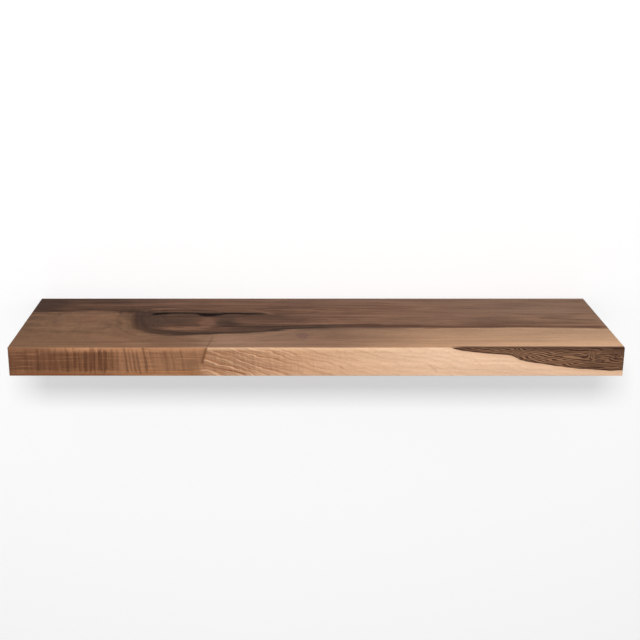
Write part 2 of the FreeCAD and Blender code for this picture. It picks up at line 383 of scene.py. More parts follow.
world = bpy.data.worlds.new("soft_daylight")
world.use_nodes = True
bpy.context.scene.world = world
sky = world.node_tree
light = sky.nodes["Background"]
light.inputs["Strength"].default_value = 1.0
direction = sky.nodes.new("ShaderNodeTexCoord")
parts = sky.nodes.new("ShaderNodeSeparateXYZ")
rise = sky.nodes.new("ShaderNodeMapRange")
for name, value in (
    ("From Min", -HORIZON), ("From Max", HORIZON), ("To Min", SKY_BELOW), ("To Max", SKY_ABOVE)
):
    rise.inputs[name].default_value = value
backdrop = sky.nodes.new("ShaderNodeBackground")
backdrop.inputs["Color"].default_value = (BACKDROP, BACKDROP, BACKDROP, 1.0)
rays = sky.nodes.new("ShaderNodeLightPath")
either = sky.nodes.new("ShaderNodeMixShader")
sky.links.new(direction.outputs["Generated"], parts.inputs[0])
sky.links.new(parts.outputs["Z"], rise.inputs["Value"])
sky.links.new(rise.outputs["Result"], light.inputs["Color"])
sky.links.new(rays.outputs["Is Camera Ray"], either.inputs[0])
sky.links.new(light.outputs[0], either.inputs[1])
sky.links.new(backdrop.outputs[0], either.inputs[2])
sky.links.new(either.outputs[0], sky.nodes["World Output"].inputs["Surface"])
print("the sky has", len(sky.nodes), "nodes")

# %% Three lamps, aimed at the board
LAMPS = {  # name: (place, width and height in metres, watts)
    "window": (Vector((-0.13, -2.5, 1.18)), (0.62, 0.34), 47.0),
    "front_fill": (Vector((0.0, -3.2, 0.2)), (3.0, 1.1), 15.0),
    "back_fill": (Vector((0.4, 3.0, -0.7)), (1.6, 1.6), 20.0),
}
middle = (board_low + board_high) / 2
for name, (place, size, power) in LAMPS.items():
    data = bpy.data.lights.new(name, "AREA")
    data.shape, data.energy = "RECTANGLE", power
    data.size, data.size_y = size
    lamp = bpy.data.objects.new(name, data)
    lamp.location = place
    lamp.rotation_euler = (middle - place).to_track_quat("-Z", "Y").to_euler()
    lamp.visible_camera = False
    bpy.context.scene.collection.objects.link(lamp)
    print(name, "is", round((middle - place).length, 2), "m from the board, with", power, "W")
bpy.context.scene.view_settings.view_transform = "Standard"

# %% [markdown]
# ## Helpers for making solid pieces
# Every piece of the shelf is either turned, like a rod, or sawn and drilled, like the board. A
# turned piece is a row of rings, and the helper below puts a skin over any row of rings; because
# a ring may also be a hexagon or a cross, sockets and screw recesses need no extra step. What is
# sawn or drilled is made as in the workshop: a blank first, then cutters that take wood away
# with Boolean modifiers. The modifiers are settled into the mesh and the cutters thrown out.

# %% Rings and skins
SEGMENTS = 48  # points round every turned piece; a multiple of 6, so hexagons get their corners


def circle(radius, height):
    """A round ring; its last point closes it on the first."""
    turn = [2 * math.pi * i / SEGMENTS for i in range(SEGMENTS + 1)]
    return [Vector((radius * math.cos(a), radius * math.sin(a), height)) for a in turn]


def skin(name, rings, direction=None, place=(0, 0, 0), capped=False):
    """A closed mesh over rings in millimetres, its axis turned to direction and set at place."""
    surface = bmesh.new()
    rows = [[surface.verts.new(point * MM) for point in ring] for ring in rings]
    for near, far in zip(rows, rows[1:]):
        for i in range(len(near) - 1):
            surface.faces.new((near[i], near[i + 1], far[i + 1], far[i]))
        if capped:
            surface.faces.new((near[-1], near[0], far[0], far[-1]))
    if capped:
        surface.faces.new(rows[0])
        surface.faces.new(rows[-1])
    bmesh.ops.remove_doubles(surface, verts=surface.verts, dist=0.001 * MM)
    bmesh.ops.recalc_face_normals(surface, faces=surface.faces)
    if direction:
        turn = Vector(direction).to_track_quat("Z", "Y")
        surface.transform(turn.to_matrix().to_4x4())
    piece = as_object(name, surface)
    piece.location = place
    bpy.context.view_layer.update()
    return piece


def as_object(name, surface):
    """Puts a finished bmesh into the scene as an object."""
    mesh = bpy.data.meshes.new(name)
    surface.to_mesh(mesh)
    surface.free()
    piece = bpy.data.objects.new(name, mesh)
    bpy.context.scene.collection.objects.link(piece)
    return piece


print("turned pieces have", SEGMENTS, "points round them")


# %% Cutters, and edges that stay crisp
EDGE_ANGLE = 20  # degrees: a bend sharper than this is a real edge


def settle(piece):
    """Turns what the piece's modifiers show into its own mesh."""
    graph = bpy.context.evaluated_depsgraph_get()
    piece.data = bpy.data.meshes.new_from_object(piece.evaluated_get(graph))
    piece.modifiers.clear()
    piece.data.name = piece.name


def cut_away(piece, cutters):
    """Takes the cutters out of the piece, as a saw or a drill does, then throws them out."""
    for cutter in cutters:
        step = piece.modifiers.new(cutter.name, "BOOLEAN")
        step.operation, step.solver, step.object = "DIFFERENCE", "EXACT", cutter
    settle(piece)
    for cutter in cutters:
        bpy.data.objects.remove(cutter)


def smooth_but_crisp(piece, angle=EDGE_ANGLE):
    """Shades round surfaces smoothly and keeps every real edge sharp."""
    mesh = piece.data
    mesh.polygons.foreach_set("use_smooth", [True] * len(mesh.polygons))
    mesh.set_sharp_from_angle(angle=math.radians(angle))
    mesh.update()


print("an edge stays sharp beyond", EDGE_ANGLE, "degrees")


# %% [markdown]
# ## The board
# The board is a single plank of walnut, 44 mm thick, with crisp edges that a sanding block has
# just broken. Behind, it is grooved for the rail and bored for the rods, and from below two
# stepped holes take the inserts of the locking screws. The sizes of the rail, rods and inserts
# come from the CAD nodes, so each hole fits what goes into it.
#
# The plank has two natural flaws that make it what it is. A long check has opened in the middle
# of its figure, widest at its ends, where the tree had grown round a dead branch. A hairline
# crack crosses the front edge. They could be painted on, but a painted crack has no depth when
# the light or the view moves. So both are cut: a ragged wedge is lofted along a line of stations,
# each with a width and a depth, and taken out of the board.

# %% The board's blank
ARRIS = 0.7  # mm, the width of the broken edge
ARRIS_STEPS = 3


def block(name, low, high):
    """A box between two corners given in metres."""
    box = bmesh.new()
    bmesh.ops.create_cube(box, size=1.0)
    box.transform(Matrix.Translation((low + high) / 2) @ Matrix.Diagonal((*(high - low), 1)))
    return as_object(name, box)


board = block("walnut_plank", board_low, board_high)
rounding = board.modifiers.new("arris", "BEVEL")
rounding.width, rounding.segments = ARRIS * MM, ARRIS_STEPS
rounding.harden_normals = False
settle(board)
print("the blank has", len(board.data.polygons), "faces with its broken edges")

# %% The groove for the rail
FIT = 0.5  # mm, round the rail in its groove
REACH_OUT = 2.0  # mm, how far every cutter starts outside the wood
RAIL_CORNER = 5.0


def rounded_plate(name, low, high, corner):
    """A flat bar on the wall plane with rounded corners, from its two corners in metres."""
    plate = block(name, low, high)
    shape = bmesh.new()
    shape.from_mesh(plate.data)
    upright = [e for e in shape.edges if abs((e.verts[0].co - e.verts[1].co).y) > 1e-6]
    bmesh.ops.bevel(
        shape, geom=upright, offset=corner * MM, segments=8, affect="EDGES", profile=0.5
    )
    shape.to_mesh(plate.data)
    shape.free()
    return plate


rail_low, rail_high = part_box("wall_rail")
spare = Vector((FIT, FIT, FIT)) * MM
groove_high = rail_high + spare
groove_high.y = REACH_OUT * MM
groove = rounded_plate("groove", rail_low - spare, groove_high, RAIL_CORNER + FIT)
print("the groove is", round(-(rail_low - spare).y / MM, 1), "mm deep")

# %% The bores for the rods
BORE_FIT = 0.1  # mm, round a rod in its bore
BORE_SPARE = 4.0  # mm, beyond a rod's tip
DRILL_POINT = math.radians(118)
BACKWARD, FORWARD, UP = (0, 1, 0), (0, -1, 0), (0, 0, 1)
SIDES = ("left", "centre", "right")


def drill(name, profile, place, direction):
    """A drill of the given (distance, radius) profile in mm, entering at place."""
    return skin(name, [circle(radius, far) for far, radius in profile], direction, place)


bores = []
for side in SIDES:
    low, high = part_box("rod_" + side)
    radius = (high.x - low.x) / 2 / MM + BORE_FIT
    depth = -low.y / MM + BORE_SPARE
    tip = depth + radius / math.tan(DRILL_POINT / 2)
    profile = [(-REACH_OUT, 0), (-REACH_OUT, radius), (depth, radius), (tip, 0)]
    bores.append(drill("bore_" + side, profile, ((low.x + high.x) / 2, 0, 0), FORWARD))
    print("bore", side, "is", round(depth), "mm deep")

# %% The stepped holes for the inserts
THREAD_FIT = 0.05  # mm, round an insert or a screw in its thread
SHANK_FIT = 0.25  # mm, round a grub screw above its insert
for side in ("left", "right"):
    low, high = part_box("lock_insert_" + side)
    screw_low, screw_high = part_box("lock_screw_" + side)
    wide = (high.x - low.x) / 2 / MM + THREAD_FIT
    narrow = (screw_high.x - screw_low.x) / 2 / MM + SHANK_FIT
    step = (high.z - board_low.z) / MM
    top = -board_low.z / MM
    profile = [(-REACH_OUT, 0), (-REACH_OUT, wide), (step, wide), (step, narrow), (top, narrow)]
    place = ((low.x + high.x) / 2, (low.y + high.y) / 2, board_low.z)
    bores.append(drill("lock_hole_" + side, profile + [(top, 0)], place, UP))

cut_away(board, [groove, *bores])
print("after the drilling the board has", len(board.data.polygons), "faces")

# %% A ragged wedge
LENGTH, DEPTH, THICKNESS = board_size
WEDGE = [  # across and into the wood, as shares of half the width and of the depth
    (1, 0), (0.72, 0.45), (0.28, 1), (-0.28, 0.96), (-0.66, 0.5), (-1, 0),
]


def on_board(along, back, down):
    """Millimetres from the left end, from the back and from the top, as a place in mm."""
    return Vector((along - LENGTH / 2, -back, THICKNESS / 2 - down))


def ragged_wedge(name, stations, across):
    """A cutter along (place, out of the wood, width, depth), all in mm, that narrows inwards."""
    rings = []
    for place, out, width, depth in stations:
        side = Vector(across) * width / 2
        above = Vector(out) * REACH_OUT
        inward = -Vector(out) * depth
        walls = [place + side * share + inward * deep for share, deep in WEDGE]
        rings.append([place + side + above, *walls, place - side + above])
    return skin(name, rings, capped=True)


def between(value, points):
    """Straight lines through (value, result) points."""
    for (start, low), (end, high) in zip(points, points[1:]):
        if value <= end:
            return low + (high - low) * max(0.0, (value - start) / (end - start))
    return points[-1][1]


def ragged(along, seed):
    """Unevenness from about -1 to 1: long waves with short ones on them."""
    long_wave = noise.noise(Vector((along * 0.17, seed, 0.0)))
    return long_wave + 0.35 * noise.noise(Vector((along * 0.6, seed, 7.0)))


print("the wedge has", len(WEDGE) + 2, "points at each station")

# %% The open check
CHECK_WIDTH = [  # mm from the left end, mm wide
    (193, 0.3), (196, 6.0), (201, 10.5), (208, 11.0), (215, 8.0), (221, 4.6), (228, 3.4),
    (246, 3.0), (262, 3.4), (268, 8.0), (274, 15.0), (284, 16.5), (292, 12.5), (299, 4.5),
    (312, 3.2), (330, 3.8), (348, 4.0), (358, 2.2), (370, 0.3),
]
CHECK_BACK = [  # mm from the left end, mm from the back
    (193, 88), (198, 87), (214, 83), (238, 81), (262, 83), (272, 89), (284, 91.5), (296, 90),
    (308, 85), (327, 83), (343, 86), (372, 86),
]
CHECK_STATION = 1.5  # mm
SWAY, SWAY_SHARE = 0.5, 0.16  # mm, and share of the width, that the middle wanders by
WIDTH_SHARE = 0.35  # of the width that it swells and shrinks by
CHECK_DEPTH = 3.0  # mm, where it is narrow
DEPTH_SHARE, DEEPEST_AT = 1.15, 9.0  # depth for each mm of width, up to this width
LEAST_WIDTH = 0.25

stations = []
at = CHECK_WIDTH[0][0]
while at <= CHECK_WIDTH[-1][0]:
    width = between(at, CHECK_WIDTH)
    from_back = between(at, CHECK_BACK) + ragged(at, 1.0) * (SWAY + width * SWAY_SHARE)
    width *= 1 + ragged(at, 5.0) * WIDTH_SHARE
    depth = CHECK_DEPTH + min(width, DEEPEST_AT) * DEPTH_SHARE + ragged(at, 9.0)
    stations.append((on_board(at, from_back, 0), Vector(UP), max(width, LEAST_WIDTH), depth))
    at += CHECK_STATION
cut_away(board, [ragged_wedge("open_check", stations, (0, 1, 0))])
print("the open check is up to", round(max(station[3] for station in stations), 1), "mm deep")

# %% The hairline crack
HAIRLINE_WIDTH = 0.4
HAIRLINE_TOP = 54.0  # mm of it on the top
HAIRLINE_FRONT = 27.0  # and down the front
HAIRLINE_PATH = [(-54, 296), (-30, 294.5), (0, 290), (27, 282.5)]  # mm past the edge, along
HAIRLINE_GAPE = [(-6, 0.45), (4, 0.4), (14, 0.42), (22, 0.7)]  # most at its lower end
HAIRLINE_STATION = 2.0
TOP_FADE, FRONT_FADE = 9, 7  # mm in which it closes up at its two ends
END_SHARE = 0.25  # of its width that is left at the very ends
END_DEPTH, DEEPER = 0.4, 2.2  # mm deep at the ends, and how much deeper in between
TURN = 8.0  # mm to each side of the edge in which the wedge swings from down to inwards

blades = []
for number in range(int((HAIRLINE_TOP + HAIRLINE_FRONT) / HAIRLINE_STATION) + 1):
    path = number * HAIRLINE_STATION - HAIRLINE_TOP  # mm past the edge
    swing = math.radians(90) * between(path, [(-TURN, 0), (TURN, 1)])
    out = Vector((0, -math.sin(swing), math.cos(swing)))
    fade = min(1.0, (path + HAIRLINE_TOP) / TOP_FADE, (HAIRLINE_FRONT - path) / FRONT_FADE)
    from_left = between(path, HAIRLINE_PATH) + ragged(path * 0.8, 3.0) * 2
    width = HAIRLINE_WIDTH * (END_SHARE + (1 - END_SHARE) * fade) * (1 + 0.5 * ragged(path, 2.0))
    width *= between(path, HAIRLINE_GAPE)
    place = on_board(from_left, DEPTH + min(path, 0), max(path, 0))
    blades.append((place, out, width, END_DEPTH + DEEPER * fade))
cut_away(board, [ragged_wedge("hairline_crack", blades, (1, 0, 0))])
smooth_but_crisp(board)
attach(board, "board")
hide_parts("walnut_board")
print("with its two cracks the board has", len(board.data.polygons), "faces")

# %% [markdown]
# ## Walnut, oiled
# Walnut could be shown by a picture of a plank, wrapped round the box, but a wrapped picture
# shows its seams at every edge, and it can't follow the grain into a crack or a bore. Here the
# wood is a formula of the place inside the board, so the grain runs through the whole plank:
# fibres are noise that is drawn out a hundred times longer than it is wide, and pores are short
# dark dashes. Where the surface crosses the fibres, at the two ends, the same noise shows as the
# dots of end grain by itself.
#
# On top of that grain lies what this one tree did. Three things are told to the formula: where
# the dark heartwood stops on the top, which is a straight line that dips round the eye of an old
# branch; how the growth rings run out through the front, from curly brown wood at the left to
# pale sapwood at the right; and where the last dark wedge of heartwood comes to the surface.

# %% Where a point lies in the board
walnut = Paint("oiled_walnut", Specular_IOR_Level=0.12)
x, y, z = walnut.place()
along = x + LENGTH / 2
back = y * -1
down = THICKNESS / 2 - z
inside = walnut.vector(along, back, down)
facing_x, facing_y, facing_z = walnut.facing()
TURNED, FACING = 0.5, 0.8  # how squarely a surface faces a side: not at all, and fully
UNDER, CLOSE = 2.5, 1.5  # mm under a face: too deep for its figure, and near enough
on_top = walnut.step(facing_z, TURNED, FACING) * walnut.step(down, UNDER, CLOSE)
on_front = walnut.step(facing_y, -TURNED, -FACING)
on_front = on_front * walnut.step(back, DEPTH - UNDER, DEPTH - CLOSE)
on_end = walnut.step(abs(facing_x), TURNED, FACING)
on_right_end = walnut.step(facing_x, TURNED, FACING)
wander = walnut.noise(inside, (120, 26, 26), seed=3.0, detail=3) - 0.5
feather = walnut.noise(inside, (44, 8, 8), seed=6.0, detail=3) - 0.5


def so_far(made):
    """Says how large the walnut's formula has become."""
    print(made, "- walnut nodes so far:", len(walnut.tree.nodes))


so_far("places and faces")

# %% [markdown]
# ### The eye and the grain
# A branch once grew out of the tree here, and its wood left an eye in the plank: the grain comes
# from the right, swings to the front and turns back at the left. The eye could be an outline with
# a test for inside or outside, but a distance says more than yes or no: colours, the dark rim and
# the bent fibres can all fade by it. So the outline is a distance, past_eye. To the right of the
# eye's middle it follows a curve along the board, and to the left it closes in a rounded corner,
# a quarter of a squared-off ellipse. Near it, the fibres are read from a bent place.

# %% The eye of the old branch, on the top
EYE_CENTRE = 290.0  # mm from the left end
EYE_BACK = 64.0  # mm from the back, where the eye's outline leaves the straight edge
EYE_HALF = 124.0
SQUARENESS = 3.6  # of the eye's corner: 2 would make it an ellipse
EYE_REACH = [
    (0, 126), (280, 126), (306, 123), (336, 120), (359, 118), (382, 113), (404, 105), (427, 101),
    (466, 94), (500, 91), (700, 93), (900, 98),
]

reach = walnut.curve(along, EYE_REACH)
leftward = walnut.most(EYE_CENTRE - along, 0.0) / EYE_HALF
frontward = walnut.most(back - EYE_BACK, 0.0) / reach
spread = (leftward**SQUARENESS + frontward**SQUARENESS) ** (1 / SQUARENESS)
past_eye = (spread - 1) * reach + wander * 14 + feather * 16
near_outline = walnut.step(abs(past_eye), 60, 22) * walnut.step(back, 40, 72)
so_far("the eye's outline")

# %% Fibres, streaks and pores
bent_place = walnut.vector(along, past_eye, down)


def along_the_grain(grain, seed, detail):
    """Noise drawn out along the board, which bends with the eye's outline on the top."""
    straight = walnut.noise(inside, grain, seed, detail, roughness=0.6)
    bent = walnut.noise(bent_place, grain, seed, detail, roughness=0.6)
    return straight + (bent - straight) * near_outline * on_top


fibre = along_the_grain((150, 1.6, 1.6), 1.0, 4)
streak = walnut.step(along_the_grain((230, 9, 9), 2.0, 3), 0.36, 0.62)
vein = walnut.step(abs(along_the_grain((260, 15, 15), 9.0, 2) - 0.5), 0.03, 0.006)
cloud = walnut.step(walnut.noise(inside, (100, 30, 30), seed=4.0, detail=3), 0.34, 0.64)
pore = walnut.step(walnut.cells(inside, (9, 0.9, 0.9), seed=5.0), 0.34, 0.12)
so_far("fibres, streaks and pores")

# %% [markdown]
# ### The top
# On the top, dark heartwood runs along the back and fills the eye, and lighter wood lies before
# it. One ramp of colour for each would look like plastic, because no two spots of a plank are
# quite alike. So the ramps are only the start, and uneven spots and thin lines are laid over
# them, like a restorer who matches a repair: first the large and faint ones, then the small and
# dark ones. All of them share the same unevenness, so that they look like one wood.

# %% Dark and light wood on the top
top_heart = walnut.colours(
    along,
    [
        (0, (104, 68, 47)), (150, (110, 74, 52)), (300, (134, 93, 69)), (560, (142, 101, 77)),
        (900, (160, 121, 95)),
    ],
)
# The light wood dips darker round 480 mm from the left: partly its own tone, partly a painted
# shadow laid across it.
top_light = walnut.colours(
    along,
    [
        (0, (130, 95, 70)), (170, (137, 100, 74)), (330, (160, 122, 97)), (480, (147, 110, 86)),
        (640, (190, 147, 114)), (900, (210, 167, 132)),
    ],
)
EYE_TONE = (92, 64, 49)
BAND_EDGE = [  # mm from the left end, mm from the back: the front of the dark band
    (0, 79), (27, 79), (60, 78), (92, 73), (124, 75), (148, 80), (175, 76), (220, 66), (900, 66),
]
grain_edge = (streak - 0.5) * 6 + (fibre - 0.5) * 8
past_band = back - walnut.curve(along, BAND_EDGE)
light_side = walnut.step(past_eye + grain_edge, -3, 5)
light_side = light_side * walnut.step(past_band + wander * 9 + grain_edge, -2.5, 2.5)
dark_side = 1 - light_side
top = walnut.mix(light_side, top_heart, top_light)
in_eye = walnut.step(past_eye, 2, -8) * walnut.step(back, 64, 84) * walnut.step(along, 480, 400)
top = walnut.mix(in_eye * 0.72, top, EYE_TONE)
so_far("dark and light wood")


# %% Mottled wood and flames
def clouded(base, lumps, where, *clouds):
    """Clouds on the base, each from (start and end in the noise, strength, colour)."""
    for start, end, strength, colour in clouds:
        base = walnut.mix(walnut.step(lumps, start, end) * where * strength, base, colour)
    return base


mottle = walnut.noise(inside, (20, 17, 17), seed=7.0, detail=2)
mottled = light_side * walnut.step(along, 330, 150) * walnut.step(back, 230, 130)
top = clouded(
    top, mottle, mottled,
    (0.46, 0.66, 0.42, (160, 117, 82)), (0.5, 0.34, 0.36, (102, 71, 52)),
)
slanted = walnut.vector(along, back - along * 0.1, down)
flame = walnut.noise(slanted, (85, 11, 11), seed=12.0, detail=3, bend=0.5)
flames = dark_side * walnut.step(along, 420, 560)
top = clouded(
    top, flame, flames,
    (0.5, 0.68, 0.34, (172, 130, 102)), (0.48, 0.32, 0.26, (108, 74, 56)),
)
so_far("mottled wood and flames")

# %% Uneven spots
uneven_back = back + wander * 7 + grain_edge * 0.25
unevenness = wander * 1.4 + feather * 1.2 + (streak - 0.5) * 0.3


def blotch(centre, half):
    """1 in the middle of an uneven spot on the top or the front, and 0 outside it."""
    return walnut.step(walnut.distance(inside, centre, half) + unevenness, 1.15, 0.55)


# Along, back and down, in mm; 99 down reaches right through the board.
BLOTCHES = (  # centre, half its size, colour, strength
    ((18, 44, 0), (44, 50, 99), (70, 45, 32), 0.7),  # the band's darkest end
    ((205, 22, 0), (64, 32, 99), (142, 99, 81), 0.35),
    ((232, 222, 0), (58, 32, 99), (108, 76, 52), 0.4),
    ((86, 99, 0), (60, 32, 99), (154, 111, 84), 0.5),
    ((90, 155, 0), (78, 28, 99), (150, 114, 86), 0.3),  # warm mottled wood before it
    ((101, 108, 0), (9, 30, 99), (144, 100, 76), 0.3),
    ((54, 104, 0), (7, 34, 99), (150, 114, 86), 0.35),
    ((198, 118, 0), (28, 40, 99), (78, 56, 44), 0.5),  # the dark end of the eye
    ((248, 162, 0), (38, 13, 99), (146, 104, 80), 0.8),  # reddish wood below the check
    ((283, 134, 0), (17, 25, 99), (142, 100, 79), 0.75),
    ((316, 126, 0), (22, 28, 99), (64, 47, 39), 0.5),
    ((232, 118, 0), (34, 15, 99), (74, 54, 43), 0.4),  # a dark halo beside it
    ((440, 96, 0), (40, 13, 99), (146, 108, 86), 0.45),
    ((431, 197, 0), (9, 24, 99), (116, 84, 78), 0.45),  # a purplish streak
    ((724, 122, 0), (60, 30, 99), (112, 80, 62), 0.3),
    ((821, 73, 0), (70, 18, 99), (166, 128, 103), 0.5),
    ((880, 150, 0), (26, 8, 99), (150, 108, 84), 0.6),
)
for centre, half, colour, strength in BLOTCHES:
    top = walnut.mix(blotch(centre, half) * strength, top, colour)
so_far(f"{len(BLOTCHES)} spots")


# %% Thin lines
def stroke(points, half_width, ends=16.0):
    """1 along a line on the top through (along, back) points, and 0 beside it."""
    off = abs(uneven_back - walnut.curve(along, points))
    line = walnut.step(off, half_width * SOFT_SIDE, half_width * FULL_SIDE)
    start, end = points[0][0], points[-1][0]
    return line * walnut.step(along, start, start + ends) * walnut.step(along, end, end - ends)


SOFT_SIDE, FULL_SIDE = 1.6, 0.3  # of half a line's width: where it is gone, and where full
DARK, LIGHT = (54, 34, 22), (164, 120, 94)
STROKES = (  # points, half the width, colour, strength
    ([(176, 62), (195, 69), (226, 65), (256, 66), (284, 78)], 2.6, DARK, 0.6),
    ([(140, 67), (183, 56), (206, 52), (235, 55), (266, 65), (306, 76)], 2.8, DARK, 0.55),
    ([(190, 60), (215, 58), (250, 60), (280, 70)], 2.2, LIGHT, 0.25),
    ([(60, 61), (130, 57), (180, 47), (230, 43), (300, 41), (420, 47)], 3.0, DARK, 0.3),
    ([(20, 70), (60, 68), (92, 63), (124, 64), (148, 70), (176, 64)], 4.0, DARK, 0.4),
    ([(20, 24), (120, 22), (260, 18), (380, 22)], 4.0, DARK, 0.25),
    ([(60, 40), (160, 36), (260, 30), (340, 33)], 4.0, LIGHT, 0.25),
    ([(140, 74), (165, 73), (186, 78), (214, 84)], 4.0, DARK, 0.5),
    ([(150, 104), (172, 98), (196, 97), (216, 99)], 4.0, DARK, 0.35),
    ([(196, 98), (230, 99), (266, 103)], 3.0, DARK, 0.4),
    ([(204, 134), (236, 140), (262, 145)], 2.4, DARK, 0.35),
    ([(294, 148), (326, 150), (369, 152), (407, 150), (465, 144), (560, 143)], 4.0, DARK, 0.75),
    ([(310, 162), (350, 163), (395, 160), (440, 153), (475, 150)], 7.0, (80, 55, 42), 0.6),
    ([(440, 148), (500, 149), (620, 150)], 7.0, (84, 60, 45), 0.5),
    ([(690, 138), (800, 135), (900, 139)], 11.0, (104, 62, 42), 0.24),
    ([(415, 168), (470, 164), (520, 161), (600, 160)], 6.0, (106, 76, 58), 0.4),
    ([(316, 126), (350, 131), (388, 134), (480, 137)], 4.0, LIGHT, 0.4),
    ([(330, 112), (380, 113), (430, 120)], 3.0, DARK, 0.35),
    ([(336, 64), (357, 70), (373, 80), (396, 92)], 3.5, LIGHT, 0.45),
    ([(366, 62), (433, 65), (476, 74)], 4.0, LIGHT, 0.35),
    ([(370, 50), (440, 52), (540, 56), (620, 60)], 3.0, DARK, 0.25),
    ([(490, 147), (600, 149), (720, 151), (900, 154)], 6.0, (90, 52, 34), 0.6),
    ([(796, 106), (829, 111), (900, 120)], 4.0, DARK, 0.4),
)
for points, half_width, colour, strength in STROKES:
    top = walnut.mix(stroke(points, half_width) * strength, top, colour)
so_far(f"{len(STROKES)} lines")

# %% The eye's dark rim and the stain round the check
RIM_TONE, HALO_TONE, STAIN_TONE = (55, 36, 24), (72, 50, 39), (41, 22, 12)
CHECK_MIDDLE, CHECK_HALF, CHECK_LINE = 279, 88, 84  # mm along, mm of its straight part, mm back

rim_width = walnut.curve(along, [(160, 12), (230, 10), (300, 6.5), (440, 6), (520, 4)])
rim = walnut.step(abs(past_eye + 4) / rim_width, 1.5, 0.4)
rim = rim * walnut.step(back, 58, 84) * walnut.step(along, 560, 400)
rim = rim * (0.7 + cloud * 0.3) * walnut.step(along, 90, 270)
top = walnut.mix(rim * 0.9, top, RIM_TONE)
check_far = walnut.most(abs(along - CHECK_MIDDLE) - CHECK_HALF, 0.0)
check_off = back - CHECK_LINE
check_near = (check_far * check_far + check_off * check_off) ** 0.5
halo = walnut.step(check_near + wander * 18, 13, 2)
top = walnut.mix(halo * 0.5, top, HALO_TONE)
beside_check = abs(back + wander * 3 - walnut.curve(along, CHECK_BACK))
stain_half = walnut.curve(
    along,
    [
        (190, 0.5), (198, 6.6), (213, 6.4), (226, 4.4), (260, 3.8), (270, 7), (296, 8.2),
        (312, 5.5), (330, 4), (346, 5), (360, 3.5), (376, 0.5),
    ],
)
stain = walnut.step(beside_check / stain_half, 1.25, 0.7) * walnut.step(along, 190, 196)
stain = stain * walnut.step(along, 376, 366)
top = walnut.mix(stain * (0.78 + streak * 0.2), top, STAIN_TONE)
so_far("rim and stain")

# %% The top's front edge and its last touch
SEAM_TONE, WEDGE_TOP_TONE = (78, 54, 42), (76, 52, 40)

seam = abs(along + wander * 5 - walnut.curve(back, [(198, 296), (221, 294), (250, 290)]))
seam = walnut.step(seam, 3.2, 0.6) * walnut.step(back, 192, 204) * (0.1 + cloud * 0.2)
top = walnut.mix(seam, top, SEAM_TONE)
front_gleam = walnut.step(back, 180, 244) * 0.13
front_gleam = front_gleam + walnut.step(back, 212, 247) * walnut.step(along, 300, 440) * 0.08
dull_right = walnut.step(back, 218, 168) * walnut.step(along, 740, 840) * light_side
top = walnut.shade(top, 1 + front_gleam - dull_right * 0.09)
wedge_on_top = walnut.step(back + wander * 2, 244, 246.5) * walnut.step(along, 640, 668)
top = walnut.mix(wedge_on_top * 0.92, top, WEDGE_TOP_TONE)
calm = walnut.curve(along, [(0, 0.8), (170, 1), (420, 1), (600, 0.55), (900, 0.5)])
top_contrast = (dark_side * 0.2 + 0.12) * calm
top = walnut.shade(top, 1 + (streak - 0.5) * top_contrast + (cloud - 0.5) * 0.1)
top = walnut.mix(vein * (dark_side * 0.25 + 0.15) * calm, top, DARK)
so_far("the top")

# %% [markdown]
# ### The front
# The saw ran almost along the growth rings, so they come out through the front as long slanting
# lines. Their heartwood lies above and their sapwood below one curve, HEART_EDGE, and the same
# curve places every ring, so that the pale rings and the dark wedge at the right belong together.
# Rings could be stripes with two equal sides, but a real one has one sharp, dark side, its late
# wood, and fades away on the other. A sawtooth, the FRACT of the place, gives that in one step.

# %% The growth rings that run out through the front
HEART_EDGE = [
    (288, -98), (400, -62), (480, -38), (560, -18), (645, 0), (659, 5), (694, 9.2), (715, 11),
    (738, 14), (747, 18.4), (765, 22.6), (788, 26.3), (824, 32), (853, 34.2), (882, 35.6),
    (900, 35.8),
]
RING_LEAN = 1.2  # how much further down a ring lies for each millimetre further back
RING_STEP = 8.2  # mm from one ring down to the next
CRACK_AT, CRACK_SLOPE = 290, 0.28  # mm from the left at the top, mm to the left for each mm down

ring_place = down - walnut.curve(along, HEART_EDGE) + (back - DEPTH) * RING_LEAN
ring_wave = walnut.noise(inside, (46, 40, 14), seed=8.0, detail=3) - 0.5
curl_round_knot = blotch((872, 250, 14), (30, 40, 9))
ring_place = ring_place + ring_wave * 5
past_crack = along + down * CRACK_SLOPE - CRACK_AT
blur = walnut.most(down - 20, 0.0) * 0.5 + 2  # mm; it grows below the crack's end
right_of_crack = walnut.step(past_crack / blur + ring_wave * 2, -1, 1)
sapwood = walnut.step(ring_place + (fibre - 0.5) * 2, -0.7, 0.7) * right_of_crack
so_far("the growth rings' places")

# %% The sapwood on the front
PINK_TONE, BELOW_WEDGE_TONE = (208, 160, 128), (198, 150, 115)
LATE_TONE, EARLY_TONE, TOP_EDGE_TONE = (156, 106, 74), (232, 192, 157), (236, 196, 160)

sap_tone = walnut.colours(
    along,
    [
        (288, (142, 105, 76)), (330, (154, 115, 85)), (390, (178, 137, 105)),
        (430, (190, 148, 115)), (530, (209, 171, 138)), (620, (219, 184, 153)),
        (900, (227, 193, 162)),
    ],
)
sap_tone = walnut.mix(walnut.step(down, 6, 40) * 0.25, sap_tone, PINK_TONE)
tooth = walnut.math("FRACT", ring_place / RING_STEP + ring_wave * 1.7 + 40)
late_wood = walnut.step(tooth, 0.85, 0.12) * walnut.step(tooth, 0.0, 0.08)
on_ring = walnut.vector(along, ring_place, back)
faint_rings = walnut.noise(on_ring, (260, 5, 400), seed=11.0, detail=2)
ring_strength = walnut.curve(
    along, [(0, 0.2), (288, 0.95), (360, 0.85), (430, 0.5), (520, 0.28), (620, 0.14), (900, 0.1)]
)
ring_strength = ring_strength * (0.55 + walnut.step(faint_rings, 0.62, 0.4) * 0.45)
sap = walnut.mix(late_wood * ring_strength, sap_tone, LATE_TONE)
early_wood = walnut.step(abs(tooth - 0.4), 0.2, 0.05) * ring_strength * (0.2 + cloud * 0.3)
